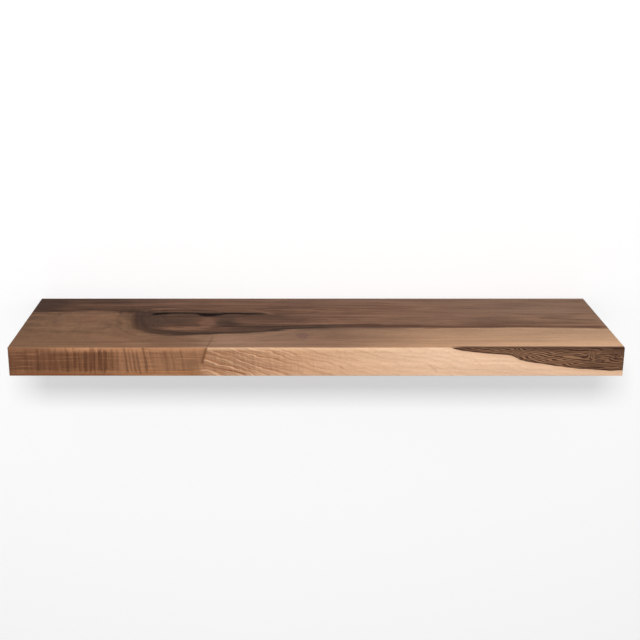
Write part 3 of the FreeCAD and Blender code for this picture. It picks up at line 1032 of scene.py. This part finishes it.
sap = walnut.mix(early_wood, sap, EARLY_TONE)
sap_top = walnut.curve(along, [(280, 0.45), (520, 0.4), (580, 0.0)])
sap = walnut.mix(walnut.step(down, 6.5, 1.0) * sap_top, sap, TOP_EDGE_TONE)
dull_middle = walnut.step(abs(down - 24), 12, 3) * walnut.step(along, 460, 390)
sap = walnut.shade(sap, 1 - dull_middle * 0.06)
below_wedge = walnut.step(ring_place, 10, 0) * walnut.step(along, 620, 690)
sap = walnut.mix(below_wedge * 0.3, sap, BELOW_WEDGE_TONE)
fine_rings = walnut.noise(on_ring, (180, 1.5, 400), seed=14.0)
sap = walnut.shade(sap, 1 + (walnut.step(fine_rings, 0.35, 0.65) - 0.5) * ring_strength * 0.24)
so_far("the sapwood")


# %% Single rings and ticks that stand out
def front_stroke(points, half_width):
    """1 along a line on the front through (along, down) points, and 0 beside it."""
    off = abs(down + ring_wave * 3 - walnut.curve(along, points))
    start, end = points[0][0], points[-1][0]
    line = walnut.step(off, half_width * SOFT_SIDE, half_width * FULL_SIDE) * on_front
    return line * walnut.step(along, start, start + 6) * walnut.step(along, end, end - 10)


RING_TONE, TICK_TONE = (134, 88, 60), (160, 112, 82)
RINGS_THAT_SHOW = (  # points, half the width, strength
    ([(280, 26), (309, 33), (336, 39), (352, 44)], 1.5, 0.85),
    ([(286, 16), (327, 28), (362, 39)], 1.1, 0.55),
    ([(290, 8), (335, 17), (380, 28), (420, 37)], 0.9, 0.35),
)
for points, half_width, strength in RINGS_THAT_SHOW:
    sap = walnut.mix(front_stroke(points, half_width) * strength, sap, RING_TONE)
TICKS = ((616, 27, 1.1, 0.3), (683, 19, 0.9, 0.15))  # along, down to its top, slope, strength
for start, tick_top, slope, strength in TICKS:
    off = abs(along - start - (down - tick_top) * slope + ring_wave * 6)
    tick = walnut.step(off, 2.2, 0.6) * walnut.step(down, tick_top - 2, tick_top + 2)
    tick = tick * walnut.step(down, tick_top + 13, tick_top + 8) * on_front
    sap = walnut.mix(tick * strength, sap, TICK_TONE)
so_far("single rings and ticks")

# %% The heartwood on the front and the underside
WEDGE_LINE_TONE, WEDGE_RIM_AND_SHADE_TONE = (157, 117, 87), (54, 32, 24)
HIDDEN_DARK, HIDDEN_LIGHT = (98, 71, 55), (116, 85, 66)
WEDGE_RING = 2.6  # mm from one fine line in the wedge to the next

heart_tone = walnut.colours(
    along,
    [
        (0, (101, 66, 46)), (110, (114, 75, 51)), (145, (115, 77, 53)), (170, (146, 103, 74)),
        (285, (132, 94, 67)), (420, (116, 82, 61)), (640, (69, 43, 31)), (900, (65, 41, 30)),
    ],
)
wave = walnut.noise(inside, (52, 60, 8), seed=13.0, detail=2) - 0.5
in_wedge = walnut.step(along, 640, 700)
wavy_tooth = walnut.math("FRACT", ring_place / WEDGE_RING + wave * 4 + curl_round_knot * 3 + 60)
wedge_line = walnut.step(abs(wavy_tooth - 0.5), 0.34, 0.16) * in_wedge * (0.55 + cloud * 0.45)
heart_tone = walnut.mix(wedge_line * 0.76, heart_tone, WEDGE_LINE_TONE)
# The wedge's dark rim against the sapwood is its own wood. The band along its top edge, up to 9 mm
# deep, is a painted shade line on that edge.
wedge_top_shade = walnut.step(down, 9, 0.5) * (0.35 + walnut.step(along, 680, 790) * 0.5)
wedge_rim_and_top_shade = walnut.most(walnut.step(abs(ring_place + 0.9), 1.9, 0.5), wedge_top_shade) * in_wedge
heart_tone = walnut.mix(wedge_rim_and_top_shade * 0.7, heart_tone, WEDGE_RIM_AND_SHADE_TONE)
hidden_tone = walnut.mix(cloud, HIDDEN_DARK, HIDDEN_LIGHT)
heart = walnut.mix(on_front, hidden_tone, heart_tone)
front = walnut.mix(sapwood * walnut.step(facing_y, FACING, TURNED), heart, sap)
so_far("the heartwood")

# %% Golden and red wood at the front's left
GOLD, BROWN_GOLD, RED_BROWN = (182, 131, 95), (156, 107, 71), (122, 72, 45)

left_front = (1 - right_of_crack) * on_front
gold_top = walnut.step(down + wander * 6 + grain_edge * 0.15, 11.5, 1.0)
gold_top = gold_top * (0.45 + cloud * 0.4) * (0.4 + walnut.step(along, 20, 110) * 0.6)
front = walnut.mix(gold_top * left_front, front, GOLD)
gold_bottom = walnut.step(down + wander * 6, 33, 37) * walnut.curve(
    along, [(0, 0.2), (80, 0.35), (150, 0.45), (200, 0.7), (290, 0.8)]
)
front = walnut.mix(gold_bottom * left_front, front, BROWN_GOLD)
red_bottom = walnut.step(down + wander * 8 + (cloud - 0.5) * 3, 38.5, 42)
red_bottom = red_bottom * walnut.curve(along, [(0, 0.5), (130, 0.9), (190, 0.3), (290, 0.2)])
front = walnut.mix(red_bottom * left_front, front, RED_BROWN)
combed = walnut.noise(inside, (60, 5, 2.4), seed=15.0, detail=3)
comb_depth = left_front * (0.28 + walnut.step(along, 170, 230) * 0.24)
front = clouded(
    front, combed, comb_depth,
    (0.54, 0.68, 1, (178, 128, 90)), (0.46, 0.34, 0.8, (102, 64, 43)),
)
so_far("golden and red wood")

# %% [markdown]
# ### The curl and the ends
# At the left the fibres run in waves, as they do where a trunk has been squeezed. Planed flat,
# each wave turns its fibres' ends to the eye and looks like a dark stripe across the grain. Noise
# drawn out across the board would give stripes anywhere; the strong ones are listed instead, one
# by one, and the noise only frays them. The ends are cut straight across the tree. There the
# rings are true circles round its heart, so their formula is simply the distance to that heart.

# %% The curl in the wood, which shows as stripes across the grain
STRIPES = (  # mm from the left to a stripe's middle, half its width, how dark it is
    (26, 2.0, 0.4), (43, 1.7, 0.75), (51, 1.2, 0.4), (60.5, 2.0, 0.65), (69, 1.8, 0.6),
    (78, 1.3, 0.35), (86, 2.0, 0.9), (97.5, 2.2, 0.8), (104, 1.2, 0.5), (113, 2.2, 0.85),
    (123, 3.6, 0.85), (134.5, 2.4, 1.1), (142, 2.3, 1.1), (152, 1.7, 0.7), (160, 1.2, 0.35),
    (172, 1.3, 0.9), (178, 1.1, 0.6), (183.5, 1.2, 0.75), (189.5, 1.1, 0.75), (200.5, 1.5, 0.95),
    (210, 1.2, 0.3), (231, 1.6, 0.5), (241, 1.3, 0.4), (255, 1.5, 0.4), (275, 1.4, 0.25),
)
SOFT_OUT, SOFT_IN = 1.1, 0.4  # mm outside and inside a stripe's side, where it fades
stripe_line = []
for centre, half, strength in STRIPES:
    stripe_line += [(centre - half - SOFT_OUT, 0), (centre - half + SOFT_IN, strength)]
    stripe_line += [(centre + half - SOFT_IN, strength), (centre + half + SOFT_OUT, 0)]
slant = along - (down - 22) * 0.14 * walnut.step(along, 130, 200)
curl_place = walnut.vector(slant, back, down)
curl = walnut.noise(curl_place, (2.8, 34, 44), seed=17.0, detail=2)
tuft = walnut.noise(inside, (26, 60, 12), seed=18.0, detail=2)
stripes = walnut.curve(slant + (tuft - 0.5) * 3, stripe_line)
curl_strength = walnut.curve(
    along,
    [
        (0, 0.25), (14, 0.4), (110, 0.4), (118, 0.6), (140, 0.6), (150, 0.4), (200, 0.4),
        (222, 0.3), (290, 0.35), (420, 0.2), (520, 0),
    ],
)
curl_strength = curl_strength * walnut.step(tuft, 0.2, 0.5)
ragged_end = (curl - 0.5) * 16 + (tuft - 0.5) * 16
on_stripes = walnut.step(down + ragged_end, 0, 7) * walnut.step(down + ragged_end, 41, 33)
in_stripe = stripes * on_stripes * on_front
curl_on_front = walnut.step(curl, 0.58, 0.42) * curl_strength * on_stripes * on_front
curl_on_front = curl_on_front + in_stripe * 0.4 - curl_strength * on_front * 0.3
curl_on_top = walnut.step(curl, 0.66, 0.34) * light_side * on_top * walnut.step(along, 190, 120)
curl_shade = 1 - curl_on_front * 0.44 - (curl_on_top - 0.5) * 0.08
so_far(f"the curl with {len(STRIPES)} strong stripes")

# %% The ends
RING_CENTRE = (60.0, -60.0)  # back and down, mm: the tree's heart lay above the board
to_heart_back, to_heart_down = back - RING_CENTRE[0], down - RING_CENTRE[1]
radius = (to_heart_back * to_heart_back + to_heart_down * to_heart_down) ** 0.5 + wander * 12
right_end_tone = walnut.colours(
    radius,
    [
        (60, (100, 73, 57)), (105, (108, 79, 62)), (112, (150, 116, 90)), (191, (164, 128, 100)),
        (199, (98, 71, 55)), (209, (94, 67, 52)), (214, (212, 176, 144)),
    ],
)
left_end_tone = walnut.colours(
    radius, [(60, (92, 67, 52)), (110, (112, 83, 64)), (212, (128, 94, 70))]
)
end_tone = walnut.mix(on_right_end, left_end_tone, right_end_tone)
end_rings = walnut.noise(walnut.vector(radius, along, 0.0), (3.2, 900, 1), seed=19.0, detail=2)
# The ends are painted lighter than oiled end grain is: a painted fill for the little light that
# falls on them. The rings then vary it.
end_tone = walnut.shade(end_tone, 0.92 + walnut.step(end_rings, 0.35, 0.6) * 0.24)
so_far("the ends")

# %% [markdown]
# ### Everything together
# Top, front and ends are laid over each other by the way the surface faces, so the figure turns
# each edge without a seam. What all sides share comes last: fibres and pores darken the wood, and
# as a bump they also catch the light. Displacement could give real relief, but pores are finer
# than any mesh that the shelf could carry. Oil leaves the wood dull, and duller in the open pores.

# %% The board's finish
STRIPE_TONE, HAIRLINE_TONE, CHECK_SHADE_TONE = (92, 54, 34), (112, 71, 45), (34, 24, 19)

colour = walnut.mix(in_stripe * 0.5, front, STRIPE_TONE)
colour = walnut.mix(on_top, colour, top)
colour = walnut.mix(on_end, colour, end_tone)
grain_shade = 1 + (fibre - 0.5) * 0.4 + (streak - 0.5) * 0.08
colour = walnut.shade(colour, grain_shade * curl_shade * (1 - pore * 0.22))
# Inside the open check the walls and floor are painted almost black: painted shade for the depth of
# the crack.
in_check = walnut.most(walnut.step(down, 0.25, 0.9), walnut.step(facing_z, 0.9, 0.6))
in_check = in_check * walnut.step(check_near, 24, 20) * walnut.step(down, 20, 17)
hairline_near = walnut.step(abs(past_crack), 3.4, 0.8)
in_hairline = hairline_near * walnut.step(down, 0.2, 1.5) * walnut.step(down, 30, 22)
colour = walnut.mix(in_hairline * 0.75, colour, HAIRLINE_TONE)
colour = walnut.mix(in_check, colour, CHECK_SHADE_TONE)

DULLNESS = 0.62  # roughness of the oiled surface between the pores
GRAIN_DEPTH = 0.06  # mm of relief in the fibres and pores
roughness = DULLNESS + (fibre - 0.5) * 0.25 + pore * 0.15 + in_check * 0.3
walnut.bump(fibre * 0.5 - pore * 0.9 + (curl - 0.5) * 0.15, GRAIN_DEPTH)
board.data.materials.clear()
board.data.materials.append(walnut.finish(Base_Color=colour, Roughness=roughness))

# %% [markdown]
# ## Putting a piece in its place
# Each piece of hardware is made once, with its own axis through its origin, and then set down
# wherever the CAD model has one: a screw four times, a rod three times. The copies share one
# mesh, which keeps the file light and the pieces truly alike. Every copy rides on the body that
# carries it, takes the place of its CAD node, which is hidden, and gets the material it is given.

# %% Set down the copies of a piece
def set_down(piece, material, node, sides, body):
    """Puts a copy of the piece where each CAD node named node_side has its start."""
    piece.data.materials.clear()
    piece.data.materials.append(material)
    for side in sides:
        low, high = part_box(f"{node}_{side}")
        copy = bpy.data.objects.new(f"{piece.name}_{side}", piece.data)
        bpy.context.scene.collection.objects.link(copy)
        copy.location = piece.location
        copy.location.x += (low.x + high.x) / 2
        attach(copy, body.format(side=side))
        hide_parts(f"{node}_{side}")
    triangles = sum(len(face.vertices) - 2 for face in piece.data.polygons)
    print(piece.name, "is set down", len(sides), "times, with", triangles, "triangles each")
    bpy.data.objects.remove(piece)


# %% [markdown]
# ## The wall rail
# A flat steel bar, powder coated black, so that it neither rusts nor marks the wall. Powder coat
# flows a little as it bakes: it rounds every edge, and leaves a faint orange peel. The bar is a
# rounded plate whose edges are bevelled first and whose countersinks are cut afterwards, because
# a bevel would otherwise try to run into the holes.

# %% The rail's shape
EDGE_ROUND = 0.5  # mm
HOLE_FIT = 0.25  # mm, of a shank in the rail
HEAD_FIT = 0.3  # mm, of a head's rim in its countersink

rail = rounded_plate("coated_rail", rail_low, rail_high, RAIL_CORNER)
rounding = rail.modifiers.new("rounding", "BEVEL")
rounding.width, rounding.segments = EDGE_ROUND * MM, 3
rounding.limit_method, rounding.angle_limit = "ANGLE", math.radians(40)
settle(rail)
rail_thickness = (rail_high.y - rail_low.y) / MM
print("the rail is", round(rail_thickness, 1), "mm thick")


# %% Its countersinks
def countersink(name, node, shank, face, direction):
    """A drill whose mouth takes the screw's head in the face of the rail that it enters."""
    low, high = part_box(node)
    hole = shank / 2 + HOLE_FIT
    mouth = (high.x - low.x) / 2 / MM + HEAD_FIT
    through = rail_thickness + REACH_OUT
    profile = [
        (-REACH_OUT, 0), (-REACH_OUT, mouth), (0, mouth), (mouth - hole, hole), (through, hole),
        (through, 0),
    ]
    return drill(name, profile, ((low.x + high.x) / 2, face, 0), direction)


ROD_SCREW, WALL_SCREW, LOCK_SCREW = 8.0, 6.0, 6.0  # mm, nominal diameters
WALL_SIDES = ("outer_left", "inner_left", "inner_right", "outer_right")
LOCK_SIDES = ("left", "right")
sinks = [
    countersink("sink_" + side, "rod_screw_" + side, ROD_SCREW, 0, FORWARD) for side in SIDES
]
sinks += [
    countersink("sink_" + side, "wall_screw_" + side, WALL_SCREW, rail_low.y, BACKWARD)
    for side in WALL_SIDES
]
cut_away(rail, sinks)
smooth_but_crisp(rail)
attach(rail, "wall_bracket")
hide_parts("wall_rail")
print("the rail has", len(sinks), "countersunk holes and", len(rail.data.polygons), "faces")

# %% Black powder coat
coat = Paint("black_powder_coat", Specular_IOR_Level=0.4)
spot = coat.vector(*coat.place())
peel = coat.noise(spot, (1.1, 1.1, 1.1), seed=2.0, detail=3)
cloud = coat.noise(spot, (60, 14, 14), seed=5.0, detail=3)
speck = coat.step(coat.cells(spot, (2.2, 2.2, 2.2), seed=6.0), 0.2, 0.1)
tone = coat.mix(cloud, (31, 32, 34), (42, 43, 45))
tone = coat.mix(speck * 0.5, tone, (64, 64, 66))
coat.bump(peel, 0.05)
rail.data.materials.clear()
rail.data.materials.append(coat.finish(Base_Color=tone, Roughness=0.42 + peel * 0.16))

# %% [markdown]
# ## The rods
# Three bars of drawn steel carry the board. Drawing through a die leaves fine lines along the
# bar; the ends are faced and bevelled on a lathe, which leaves rings. A rod is turned in one go:
# its outline runs from the bottom of the tapped hole out over the rim and along to the tip.
# The lines of the die can't be turned, being finer than a hair, so they are bump in the steel.

# %% A rod, turned
def turned(name, profile, direction, place):
    """A lathe piece from (distance, radius) along its outline, in millimetres."""
    piece = skin(name, [circle(radius, far) for far, radius in profile], direction, place)
    smooth_but_crisp(piece)
    return piece


low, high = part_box("rod_centre")
rod_radius = (high.x - low.x) / 2 / MM
rod_length = (high.y - low.y) / MM
TAPPED_DEPTH, TAPPED_RADIUS = 17.2, 4.05
MOUTH_BEVEL, RIM_BEVEL, TIP_BEVEL = 0.6, 0.3, 1.5
rod_outline = [
    (TAPPED_DEPTH, 0),
    (TAPPED_DEPTH, TAPPED_RADIUS),
    (MOUTH_BEVEL, TAPPED_RADIUS),
    (0, TAPPED_RADIUS + MOUTH_BEVEL),
    (0, rod_radius - RIM_BEVEL),
    (RIM_BEVEL, rod_radius),
    (rod_length - TIP_BEVEL - 0.2, rod_radius),
    (rod_length - TIP_BEVEL + 0.1, rod_radius - 0.1),
    (rod_length - 0.1, rod_radius - TIP_BEVEL + 0.1),
    (rod_length, rod_radius - TIP_BEVEL - 0.15),
    (rod_length, 0),
]
rod = turned("drawn_rod", rod_outline, FORWARD, (0, high.y, 0))
print("a rod is", round(rod_radius * 2, 1), "mm thick and", round(rod_length, 1), "mm long")

# %% Drawn steel
steel = Paint("drawn_steel", Metallic=1.0)
x, y, z = steel.place()
spot = steel.vector(x, y, z)
drawn = steel.noise(spot, (0.3, 90, 0.3), seed=1.0, detail=3)
faced = steel.noise(steel.vector((x * x + z * z) ** 0.5, 0.0, 0.0), (0.25, 1, 1), seed=4.0)
at_tip = steel.step(y, 2 - rod_length, 1 - rod_length)
lines = drawn + (faced - drawn) * at_tip
bloom = steel.noise(spot, (9, 34, 9), seed=6.0, detail=4)
tone = steel.mix(bloom, (150, 149, 147), (188, 187, 184))
tone = steel.shade(tone, 0.88 + lines * 0.2)
steel.bump(lines, 0.012)
drawn_steel = steel.finish(Base_Color=tone, Roughness=0.2 + bloom * 0.16 + lines * 0.08)
set_down(rod, drawn_steel, "rod", SIDES, "wall_bracket")

# %% [markdown]
# ## Screw threads
# A thread is what makes a screw look like one. It could be a strip wound round the shank with a
# Screw modifier, but strip and shank would then be two skins that run through each other. Here
# the thread is part of one closed skin: each ring of the screw climbs by one pitch in a turn, so
# a ring's end meets the start of a later ring, and the radius swells and shrinks from ring to
# ring. At both ends it fades into the shank, as a rolled thread does.

# %% Rings that climb
def thread(root, crest, pitch, start, end, shape, taper=None):
    """Climbing rings from start to end; shape has (share of a pitch, 0 at the root to 1)."""
    rings = []
    turns = int((end - start) / pitch) + 2
    for turn in range(-1, turns):
        for share, height in shape:
            ring = []
            for i in range(SEGMENTS + 1):
                angle = 2 * math.pi * i / SEGMENTS
                climb = start + pitch * (turn + share + i / SEGMENTS)
                at = min(max(climb, start), end)
                fade = max(0.0, min(1.0, (at - start) / pitch, (end - at) / pitch))
                radius = (root + (crest - root) * height * fade) * (taper(at) if taper else 1)
                ring.append(Vector((radius * math.cos(angle), radius * math.sin(angle), at)))
            rings.append(ring)
    return rings


MACHINE_THREAD = [(0.0, 0.0), (0.12, 0.0), (0.5, 1.0), (0.62, 1.0)]
WOOD_THREAD = [(0.0, 0.0), (0.5, 0.0), (0.72, 1.0), (0.8, 1.0)]
print("each turn of a thread has", len(MACHINE_THREAD), "rings")


# %% [markdown]
# ## The screws
# Three kinds of screw hold the shelf together. Black socket screws pull the rods onto the rail
# from behind. Zinc plated wood screws go through the rail into the plugs in the wall. And two
# black grub screws, under the board, press on the outer rods so that the board can't walk off
# the wall. Sockets and cross recesses could be cut with modifiers, but rings that aren't round do
# it in the same skin: the row starts in the middle of the recess's floor and climbs out of it.

# %% Rings for sockets
def hexagon(flats, height):
    """A six-sided ring, flats wide, with as many points as a circle."""
    side = SEGMENTS // 6
    ring = []
    for i in range(SEGMENTS + 1):
        first, share = divmod(i, side)
        corners = []
        for n in (first, first + 1):
            angle = math.pi / 3 * n
            corners.append(Vector((math.cos(angle), math.sin(angle), 0)))
        point = corners[0].lerp(corners[1], share / side) * flats / math.sqrt(3)
        ring.append(Vector((point.x, point.y, height)))
    return ring


def cross(span, width, height):
    """A ring with four arms, span from tip to tip, with as many points as a circle."""
    arm = [(span, 0.0), (span, width), (width, width), (width, span)]  # then the next arm
    steps = SEGMENTS // 4 // 3
    quarter = []
    for (x0, y0), (x1, y1) in zip(arm, arm[1:]):
        for n in range(steps):
            quarter.append((x0 + (x1 - x0) * n / steps, y0 + (y1 - y0) * n / steps))
    ring = []
    for i in range(SEGMENTS + 1):
        turn, spot = divmod(i, len(quarter))
        x, y = quarter[spot]
        for _ in range(turn % 4):
            x, y = -y, x
        ring.append(Vector((x / 2, y / 2, height)))
    return ring


print("a hexagon and a cross have", len(hexagon(1, 0)), "and", len(cross(2, 1, 0)), "points")

# %% The rods' socket screw
THREAD_ANGLE = 32  # degrees: sharper bends than this stay sharp on threaded pieces


def countersunk(head, shank):
    """Rings from a head's rim, a little broken at its edge, down its cone to the shank."""
    rim = [circle(head - 0.35, 0), circle(head - 0.22, 0.08), circle(head - 0.22, 0.22)]
    return [*rim, circle(shank, head - shank)]


def socket(flats, depth, bevel, start):
    """Rings of a hexagon socket, from the middle of its floor up to its bevelled mouth."""
    return [
        hexagon(0, depth), hexagon(flats, depth), hexagon(flats, start), hexagon(flats + bevel, 0)
    ]


low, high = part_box("rod_screw_centre")
head, shank, long = (high.x - low.x) / 2 / MM, ROD_SCREW / 2, (high.y - low.y) / MM
ROD_PITCH, ROD_THREAD = 1.25, 0.68  # mm: from turn to turn, and how deep
ROD_THREAD_FROM = 4.8
rings = socket(flats=5.0, depth=2.8, bevel=0.5, start=0.25) + countersunk(head, shank)
rings += [circle(shank, ROD_THREAD_FROM - 0.4), circle(shank - ROD_THREAD, ROD_THREAD_FROM)]
rings += thread(
    shank - ROD_THREAD, shank, ROD_PITCH, ROD_THREAD_FROM, long - 0.7, MACHINE_THREAD
)
rings += [circle(shank - 1.1, long), circle(0, long)]
rod_screw = skin("socket_screw", rings, FORWARD, (0, high.y, 0))
smooth_but_crisp(rod_screw, THREAD_ANGLE)
print("the socket screw is", round(long, 1), "mm long")

# %% The wood screw
low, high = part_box("wall_screw_inner_left")
head, shank, long = (high.x - low.x) / 2 / MM, WALL_SCREW / 2, (high.y - low.y) / MM
WALL_PITCH, WALL_THREAD = 2.9, 1.0  # mm: from turn to turn, and how deep
WALL_THREAD_FROM = 12.5
POINT = 7.0  # mm, of the tapered end
# The recess: the middle of its floor, the floor's outline, the top of its walls, its mouth.
rings = [cross(0, 0, 2.8), cross(3.3, 0.8, 2.8), cross(6.6, 1.6, 0.15), cross(6.9, 1.9, 0)]
rings += countersunk(head, shank)
rings += [circle(shank, WALL_THREAD_FROM - 1), circle(shank - WALL_THREAD, WALL_THREAD_FROM)]
rings += thread(
    shank - WALL_THREAD, shank, WALL_PITCH, WALL_THREAD_FROM, long - 0.3, WOOD_THREAD,
    lambda at: min(1, (long - at) / POINT),
)
rings += [circle(0, long)]
wall_screw = skin("wood_screw", rings, BACKWARD, (0, low.y, 0))
smooth_but_crisp(wall_screw, THREAD_ANGLE)
print("the wood screw is", round(long, 1), "mm long")

# %% The grub screw
low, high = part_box("lock_screw_left")
shank, long = LOCK_SCREW / 2, (high.z - low.z) / MM
LOCK_PITCH, LOCK_THREAD = 1.0, 0.56  # mm: from turn to turn, and how deep
CONE = 1.2  # mm, of the end that presses on the rod
rings = socket(flats=3.0, depth=4.0, bevel=0.4, start=0.2)
rings += [circle(shank - 0.6, 0), circle(shank - LOCK_THREAD, 0.25)]
rings += thread(shank - LOCK_THREAD, shank, LOCK_PITCH, 0.25, long - CONE, MACHINE_THREAD)
rings += [circle(shank - CONE, long), circle(0, long)]
lock_screw = skin("grub_screw", rings, UP, (0, (low.y + high.y) / 2, low.z))
smooth_but_crisp(lock_screw, THREAD_ANGLE)
print("the grub screw is", round(long, 1), "mm long")

# %% [markdown]
# ### Black oxide and zinc
# Both are thin skins on steel, so both stay metal: oxide nearly black, zinc bright and a little
# blue. One even colour would look like plastic. A soft noise, the bloom, moves the colour and the
# roughness together, as it does on real plating.

# %% Black oxide
oxide = Paint("black_oxide", Metallic=1.0)
spot = oxide.vector(*oxide.place())
bloom = oxide.noise(spot, (1.8, 1.8, 1.8), seed=3.0, detail=4)
tone = oxide.mix(bloom, (52, 51, 52), (82, 79, 76))
oxide.bump(bloom, 0.01)
black_oxide = oxide.finish(Base_Color=tone, Roughness=0.3 + bloom * 0.2)

# %% Zinc plate, and the screws in their places
plated = Paint("zinc_plate", Metallic=1.0)
spot = plated.vector(*plated.place())
bloom = plated.noise(spot, (2.4, 2.4, 2.4), seed=3.0, detail=4)
fine = plated.noise(spot, (0.3, 0.3, 0.3), seed=7.0)
tone = plated.mix(bloom, (186, 189, 196), (214, 213, 206))
plated.bump(fine, 0.008)
zinc_plate = plated.finish(Base_Color=tone, Roughness=0.26 + bloom * 0.14)

set_down(rod_screw, black_oxide, "rod_screw", SIDES, "wall_bracket")
set_down(wall_screw, zinc_plate, "wall_screw", WALL_SIDES, "wall_bracket")
set_down(lock_screw, black_oxide, "lock_screw", LOCK_SIDES, "lock_screw_{side}")

# %% [markdown]
# ## The wall plugs
# Grey nylon, moulded: a smooth neck, then a row of barbs that lean back against being pulled
# out, and a far end that is slit crosswise so that the screw can spread it. Barbs could be modelled
# one by one, but as they run right round, they are simply part of the turned outline. The slits
# aren't round, so they are sawn in afterwards. Nylon lets a little light in under its surface,
# which a touch of subsurface scattering gives.

# %% A nylon plug
BARB, BARB_DEPTH = 3.0, 0.42  # mm
BARBS_FROM, BARBS_TO = 10.0, 46.0
SLIT, SLIT_FROM = 0.9, 27.0
BEYOND = 9.0  # mm to each side that a saw reaches, well past the plug
low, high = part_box("wall_plug_inner_left")
plug_radius, plug_length = (high.x - low.x) / 2 / MM, (high.y - low.y) / MM
plug_bore = WALL_SCREW / 2 + THREAD_FIT
plug_outline = [(0.5, plug_bore), (0, plug_bore + 0.35), (0, plug_radius - 0.3), (0.3, plug_radius)]
plug_outline += [(1.6, plug_radius), (2.0, plug_radius - 0.25), (8.5, plug_radius - 0.25)]
for number in range(int((BARBS_TO - BARBS_FROM) / BARB)):
    start = BARBS_FROM + number * BARB
    plug_outline += [(start, plug_radius), (start + BARB - 0.3, plug_radius - BARB_DEPTH)]
plug_outline += [(plug_length - 1.4, plug_radius - 0.2), (plug_length, plug_radius - 0.75)]
plug_outline += [(plug_length, plug_bore), (0.5, plug_bore)]
plug = turned("nylon_plug", plug_outline, BACKWARD, (0, low.y, 0))
slits = []
for name, half_x, half_z in (
    ("upright_slit", SLIT / 2, BEYOND), ("level_slit", BEYOND, SLIT / 2)
):
    corner = Vector((half_x, 0, half_z)) * MM
    start = Vector((0, low.y + SLIT_FROM * MM, 0))
    end = Vector((0, low.y + (plug_length + REACH_OUT) * MM, 0))
    slits.append(block(name, start - corner, end + corner))
cut_away(plug, slits)
smooth_but_crisp(plug)
print("a plug is", round(plug_length, 1), "mm long, with", len(slits), "slits")

# %% Grey nylon
nylon = Paint("grey_nylon", Subsurface_Weight=0.12, Subsurface_Scale=0.002)
spot = nylon.vector(*nylon.place())
uneven = nylon.noise(spot, (5, 14, 5), seed=2.0, detail=3)
skin_of_mould = nylon.noise(spot, (0.35, 0.35, 0.35), seed=6.0, detail=2)
tone = nylon.mix(uneven, (136, 139, 143), (160, 162, 165))
nylon.bump(skin_of_mould, 0.02)
grey_nylon = nylon.finish(Base_Color=tone, Roughness=0.42 + skin_of_mould * 0.16)
set_down(plug, grey_nylon, "wall_plug", WALL_SIDES, "wall_bracket")

# %% [markdown]
# ## The inserts
# Wood alone can't hold a fine thread, so each grub screw runs in a brass sleeve. A coarse thread
# outside bites the walnut, and a slot in its mouth takes the driver that set it. From below only
# its ring and slot show, but it is made whole, inside and out, in one closed row of rings that
# ends where it starts, because that needs no cutter for the bore.

# %% A brass insert
SLOT_WIDTH, SLOT_DEPTH = 1.4, 1.6
low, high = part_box("lock_insert_left")
sleeve, sleeve_length = (high.x - low.x) / 2 / MM, (high.z - low.z) / MM
sleeve_bore = LOCK_SCREW / 2 + THREAD_FIT
SLEEVE_PITCH, SLEEVE_THREAD = 2.2, 0.75  # mm: from turn to turn, and how deep
SLEEVE_FROM = 1.3
root = sleeve - SLEEVE_THREAD
mouth = [circle(sleeve_bore, 0.35), circle(sleeve_bore + 0.35, 0), circle(sleeve - 0.45, 0)]
mouth += [circle(sleeve - 0.2, 0.25), circle(sleeve - 0.2, 0.9), circle(root, SLEEVE_FROM)]
rings = mouth + thread(
    root, sleeve, SLEEVE_PITCH, SLEEVE_FROM, sleeve_length - 0.5, WOOD_THREAD
)
rings += [circle(sleeve - 1.2, sleeve_length), circle(sleeve_bore, sleeve_length), mouth[0]]
insert = skin("brass_insert", rings, UP, (0, (low.y + high.y) / 2, low.z))
half = Vector((sleeve + 1, SLOT_WIDTH / 2, SLOT_DEPTH)) * MM
middle_of_mouth = Vector(insert.location)
cut_away(insert, [block("slot", middle_of_mouth - half, middle_of_mouth + half)])
smooth_but_crisp(insert, THREAD_ANGLE)
print("an insert is", round(sleeve_length, 1), "mm long")

# %% Brass
brass = Paint("brass", Metallic=1.0)
spot = brass.vector(*brass.place())
tarnish = brass.noise(spot, (2.6, 2.6, 2.6), seed=4.0, detail=4)
fine = brass.noise(spot, (0.25, 0.25, 1.5), seed=8.0)
tone = brass.mix(brass.step(tarnish, 0.4, 0.7), (222, 186, 112), (176, 134, 74))
brass.bump(fine, 0.01)
bright_brass = brass.finish(Base_Color=tone, Roughness=0.22 + tarnish * 0.2)
set_down(insert, bright_brass, "lock_insert", LOCK_SIDES, "board")

# %% [markdown] ## The end
